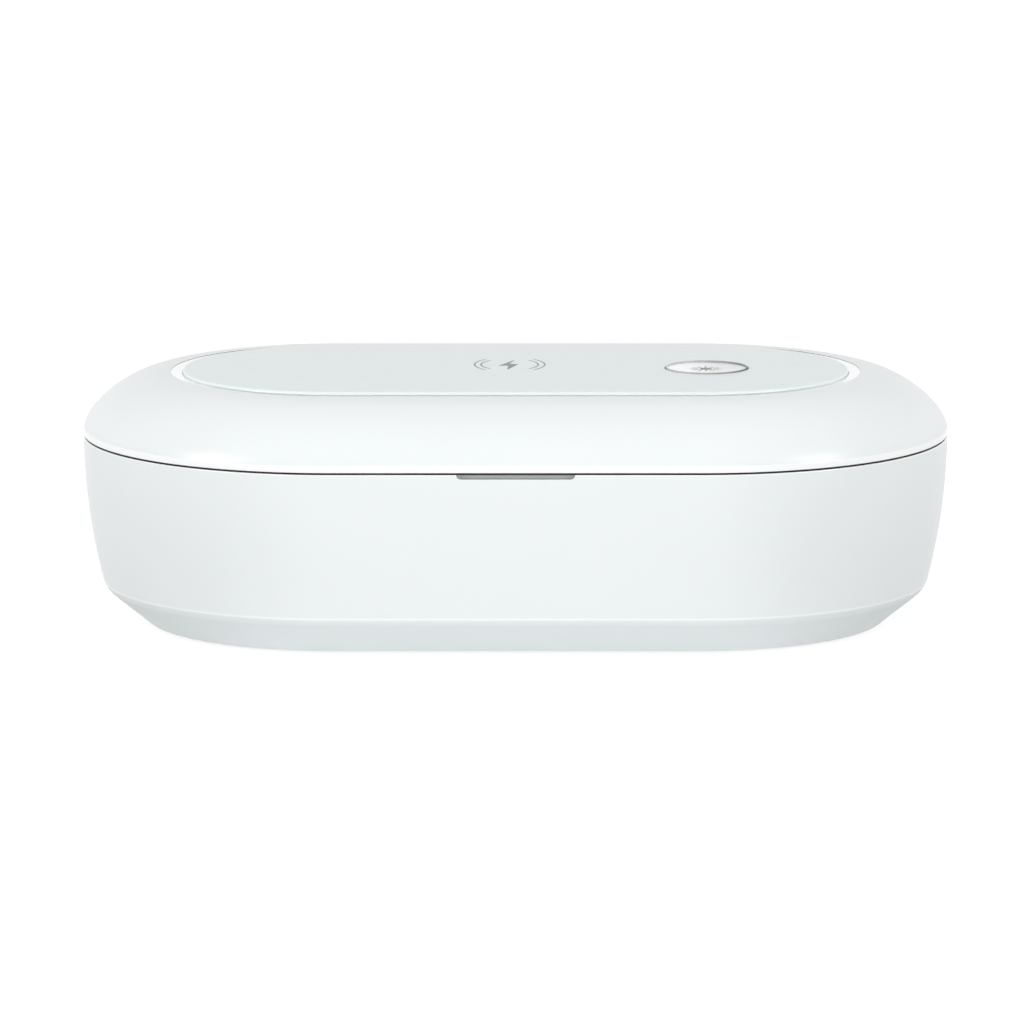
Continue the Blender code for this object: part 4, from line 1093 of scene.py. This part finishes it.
window_edge = 0.1 * mm
cover_thickness = 2.4 * mm
post_radius = 2.5 * mm
post_steps = 32
post_places = ((-37.0, -21.0), (37.0, -21.0), (-37.0, 38.2), (37.0, 38.2))
foot_sink = 0.9 * mm
foot_round = 0.5 * mm
head_height = 1.2 * mm
head_round = 0.5 * mm
head_sink_steps = 64
slot_width = 0.5 * mm
slot_depth = 0.6 * mm
slot_half = 1.8 * mm
shank_radius = 1.0 * mm
shank_hole_radius = 1.3 * mm
feet = ("front_left", "front_right", "rear_left", "rear_right")


def make_windows():
    """The four quartz discs over the lamps, with a fine chamfer on both edges."""
    for body in ("base", "lid"):
        for side in sides:
            node = f"{body}_uv_window_{side}"
            low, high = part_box(node)
            radius = radius_of(node)
            face = radius - window_edge
            points = [
                (0.0, low.z), (face, low.z), (radius, low.z + window_edge),
                (radius, high.z - window_edge), (face, high.z), (0.0, high.z),
            ]
            disc = make_mesh(f"lamp_window_{body}_{side}", turn_at(node, points))
            finish_piece(disc, slot_finishes["quartz"], body, "quartz", node)


def drill_for_screws(piece, prefix, bottom, top):
    """Drill a piece for its four screws: a hole for each shank and a sink for its head."""
    places = flat_places(prefix, "1234")
    drill(piece, places, shank_hole_radius, bottom, top, small_steps)
    sink_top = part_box(prefix + "1")[0].z + head_height + fit_gap
    drill(piece, places, radius_of(prefix + "1") + fit_gap, bottom, sink_top, head_sink_steps)


def make_bottom_plate():
    """The plate that closes the base from below, with wells for the feet and sinks for the screws."""
    bottom = cover_low.z
    top = bottom + cover_thickness
    radius = cover_high.y
    points = [
        (tray_flat, bottom), (radius, bottom, lip_round), (radius, top, lip_round), (tray_flat, top)
    ]
    plate = make_mesh("bottom_plate", sweep_case(points, closed=False))
    posts = [(x * mm, y * mm) for x, y in post_places]
    weld(plate, upright_bars(post_radius, top - lip_round, cover_high.z, posts, post_steps))
    well_radius = radius_of("foot_front_left") + fit_gap
    drill(plate, flat_places("foot_", feet), well_radius, bottom - overrun, bottom + foot_sink)
    drill_for_screws(plate, "cover_screw_", bottom - overrun, top + overrun)
    finish_piece(plate, white_plastic, "base", "shell", "base_cover")


def make_feet():
    for name in feet:
        node = "foot_" + name
        low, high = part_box(node)
        radius = radius_of(node)
        points = [(0.0, low.z), (radius, low.z, foot_round), (radius, high.z), (0.0, high.z)]
        foot = make_mesh("rubber_foot_" + name, turn_at(node, points))
        finish_piece(foot, foot_rubber, "base", "foot", node)


def make_screws(prefix, body, piece_prefix):
    """Four screws with rounded heads facing down, each with a cross in its head."""
    for number in "1234":
        node = prefix + number
        low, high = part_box(node)
        radius = radius_of(node)
        head_top = low.z + head_height
        points = [
            (0.0, low.z), (radius, low.z, head_round), (radius, head_top), (shank_radius, head_top),
            (shank_radius, high.z - shank_radius), (0.0, high.z),
        ]
        screw = make_mesh(piece_prefix + number, turn_at(node, points, small_steps))
        middle = centre_of(node)
        for x, y in ((slot_half, slot_width / 2), (slot_width / 2, slot_half)):
            start = (middle.x - x, middle.y - y, low.z - overrun)
            cut(screw, block(start, (middle.x + x, middle.y + y, low.z + slot_depth)))
        finish_piece(screw, slot_finishes["steel"], body, "steel", node)


socket_wall = 0.3 * mm
socket_cavity = 6.2 * mm
tongue_width = 6.7 * mm
tongue_height = 0.7 * mm
tongue_length = 4.6 * mm
tongue_round = 0.1 * mm
tongue_round_steps = 2
contact_count = 6
contact_width = 0.4 * mm
contact_pitch = 0.85 * mm
contact_length = 3.2 * mm
contact_rise = 0.03 * mm


def make_socket():
    """The charging socket: a drawn metal sleeve, and a black tongue with gold contacts in it."""
    z = (socket_low.z + socket_high.z) / 2
    width = socket_high.x - socket_low.x
    height = socket_high.z - socket_low.z
    mouth = socket_high.y
    back = mouth - socket_cavity
    sleeve = make_mesh("socket_sleeve", slot_bar(width, height, socket_low.y, mouth, z))
    cut(sleeve, slot_bar(width - 2 * socket_wall, height - 2 * socket_wall, back, mouth + overrun, z))
    finish_piece(sleeve, slot_finishes["steel"], "base", "steel", "usb_socket")
    half = Vector((tongue_width / 2, 0.0, tongue_height / 2))
    bm = block(Vector((0.0, back, z)) - half, Vector((0.0, back + tongue_length, z)) + half)
    round_off(bm, bm.edges[:], tongue_round, tongue_round_steps)
    finish_piece(make_mesh("socket_tongue", bm), slot_finishes["chip"], "base", "chip")
    bm = bmesh.new()
    start = back + tongue_length - contact_width - contact_length
    reach = Vector((contact_width / 2, 0.0, half.z + contact_rise))
    for number in range(contact_count):
        x = (number - (contact_count - 1) / 2) * contact_pitch
        add_block(bm, Vector((x, start, z)) - reach, Vector((x, start + contact_length, z)) + reach)
    finish_piece(make_mesh("socket_contacts", bm), contact_gold, "base", "steel")


# Inside of the lid

liner_rise = 0.2 * mm
liner_thickness = 2.0 * mm
liner_edge_gap = 0.35 * mm
trap_gap = 0.8 * mm
trap_thickness = 1.4 * mm
liner_bottom = seam + liner_rise
liner_top = liner_bottom + liner_thickness
liner_radius = half_width - lid_rim_width - liner_edge_gap
trap_outer = chamber_radius - trap_gap
trap_inner = trap_outer - trap_thickness
magnet_wall = 0.6 * mm


def make_lid_inner_cover():
    """The lid's inner cover, with its hanging light-trap rib, lamp windows and screw sinks."""
    points = [
        (tray_flat, liner_top), (liner_radius, liner_top), (liner_radius, liner_bottom, lip_round),
        (trap_outer, liner_bottom, lip_round), (trap_outer, liner_low.z, lip_round),
        (trap_inner, liner_low.z, lip_round), (trap_inner, liner_bottom, lip_round),
        (tray_flat, liner_bottom),
    ]
    cover = make_mesh("lid_inner_cover", sweep_case(points, closed=False))
    below = liner_low.z - overrun
    magnets = flat_places("", ("lid_magnet_left", "lid_magnet_right", "sensor_magnet"))
    pocket = radius_of("sensor_magnet") + fit_gap
    pocket_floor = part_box("sensor_magnet")[0].z - fit_gap
    root = liner_top - magnet_wall
    weld(cover, upright_bars(pocket + magnet_wall, root, liner_high.z, magnets, small_steps))
    drill(cover, magnets, pocket, pocket_floor, liner_high.z + overrun, small_steps)
    window_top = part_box("lid_uv_window_left")[1].z
    windows = flat_places("lid_uv_window_", sides)
    sink_radius = radius_of("lid_uv_window_left") + fit_gap
    drill(cover, windows, lamp_hole_radius, below, liner_top + overrun)
    drill(cover, windows, sink_radius, below, window_top + fit_gap)
    drill_for_screws(cover, "lid_screw_", below, liner_top + overrun)
    clear_rear(cover, liner_low.z, liner_top)
    finish_piece(cover, liner_plastic, "lid", "liner", "lid_liner")


def dress_hidden_nodes():
    """Give the boards, chips, magnets, pins and coil their own finishes."""
    for row in frame["record"]["subparts"]:
        node = frame["nodes"][row["node"]]
        if not node.hide_render:
            for holder in node.material_slots:
                holder.material = slot_finishes[row["material_slot"]]


# Studio

camera_distance = 1800.0 * mm
camera_elevation = radians(10.03)
camera_target = Vector((-0.907, 0.0, 27.5)) * mm
camera_lens = 247.69
camera_near = 10.0 * mm
camera_far = 100.0
white = (1.0, 1.0, 1.0, 1.0)
ambient_level = 0.692
ceiling_level = 0.78
ceiling_from = radians(12.0)
ceiling_to = radians(25.0)
floor_size = 8.0
floor_albedo = 0.3
floor_light = 0.387
pool_span = (60.0 * mm, 112.0 * mm)
floor_glow = 0.74
floor_shadow_share = 0.42

# Azimuth from the front towards the right end and elevation in degrees, distance, width, height, power
softboxes = {
    "front": (0.0, 5.0, 2.4, 1.6, 0.3, 6.3),
    "left_strip": (-58.0, 18.0, 1.6, 0.5, 0.8, 9.8),
    "right_strip": (58.0, 18.0, 1.6, 0.5, 0.8, 8.6),
}


def make_camera():
    data = bpy.data.cameras.new("camera")
    data.lens = camera_lens
    data.clip_start = camera_near
    data.clip_end = camera_far
    camera = add_object("camera", data)
    back = Vector((0.0, -cos(camera_elevation), sin(camera_elevation)))
    camera.location = camera_target + back * camera_distance
    camera.rotation_euler = (pi / 2 - camera_elevation, 0.0, 0.0)
    bpy.context.scene.camera = camera


def part_rays(tree, output, lit, seen):
    """Let one shader give the light, and another be what shows to the camera and in gloss and glass."""
    path = add_node(tree, "LightPath").outputs
    straight = maths(tree, "MAXIMUM", path["Is Camera Ray"], path["Is Glossy Ray"])
    share = maths(tree, "MAXIMUM", straight, path["Is Transmission Ray"])
    inputs = {0: share, 1: lit.outputs[0], 2: seen.outputs[0]}
    feed(tree.nodes[output], {"Surface": add_node(tree, "MixShader", inputs).outputs[0]})


def make_world():
    """An even white light, which shows as a white backdrop and, in gloss and glass, a darker ceiling."""
    world = bpy.data.worlds.new("studio")
    world.use_nodes = True
    bpy.context.scene.world = world
    tree = world.node_tree
    light = tree.nodes["Background"]
    feed(light, {"Color": white, "Strength": ambient_level})
    facing = add_node(tree, "TexCoord").outputs["Generated"]
    height = add_node(tree, "SeparateXYZ", {0: facing}).outputs["Z"]
    ceiling = spread(tree, height, 1.0, ceiling_level, sin(ceiling_from), sin(ceiling_to))
    camera_ray = add_node(tree, "LightPath").outputs["Is Camera Ray"]
    brightness = maths(tree, "MAXIMUM", camera_ray, ceiling)
    backdrop = add_node(tree, "Background", {"Color": white, "Strength": brightness})
    part_rays(tree, "World Output", light, backdrop)


def lit_paper(tree, albedo, glow):
    """Matt paper that also gives some light of its own."""
    paper = add_node(tree, "BsdfDiffuse", {"Color": (albedo, albedo, albedo, 1.0)})
    light = add_node(tree, "Emission", {"Strength": glow})
    return add_node(tree, "AddShader", {0: paper.outputs[0], 1: light.outputs[0]})


def make_floor():
    """A pale light table, which is white in the open and still keeps a soft shadow."""
    bm = bmesh.new()
    bmesh.ops.create_grid(bm, x_segments=1, y_segments=1, size=floor_size / 2)
    floor = make_mesh("floor", bm)
    material = bpy.data.materials.new("floor_paper")
    material.use_nodes = True
    tree = material.node_tree
    tree.nodes.remove(tree.nodes["Principled BSDF"])
    pool = spread(tree, place_along(tree, "X", fold=True), floor_light, 0.0, *pool_span)
    table = lit_paper(tree, floor_albedo, pool)
    part_rays(tree, "Material Output", table, lit_paper(tree, floor_shadow_share, floor_glow))
    floor.data.materials.append(material)


def add_softbox(name, azimuth, elevation, distance, width, height, power):
    data = bpy.data.lights.new(name, "AREA")
    data.shape = "RECTANGLE"
    data.size = width
    data.size_y = height
    data.energy = power
    across = radians(azimuth)
    up = radians(elevation)
    away = Vector((sin(across) * cos(up), -cos(across) * cos(up), sin(up)))
    lamp = add_object(name, data)
    lamp.location = away * distance
    lamp.rotation_euler = away.to_track_quat("Z", "Y").to_euler()


def make_studio():
    make_camera()
    make_world()
    make_floor()
    for name, placing in softboxes.items():
        add_softbox(name, *placing)
    bpy.context.scene.view_settings.view_transform = "Standard"


make_studio()
make_base_housing()
make_seal_strip()
make_lid_housing()
make_top_panel()
make_charging_sign()
make_button()
make_button_icon()
make_chamber_bowl()
make_bottom_plate()
make_feet()
make_screws("cover_screw_", "base", "bottom_screw_")
make_socket()
make_lid_inner_cover()
make_screws("lid_screw_", "lid", "lid_cover_screw_")
make_windows()
dress_hidden_nodes()
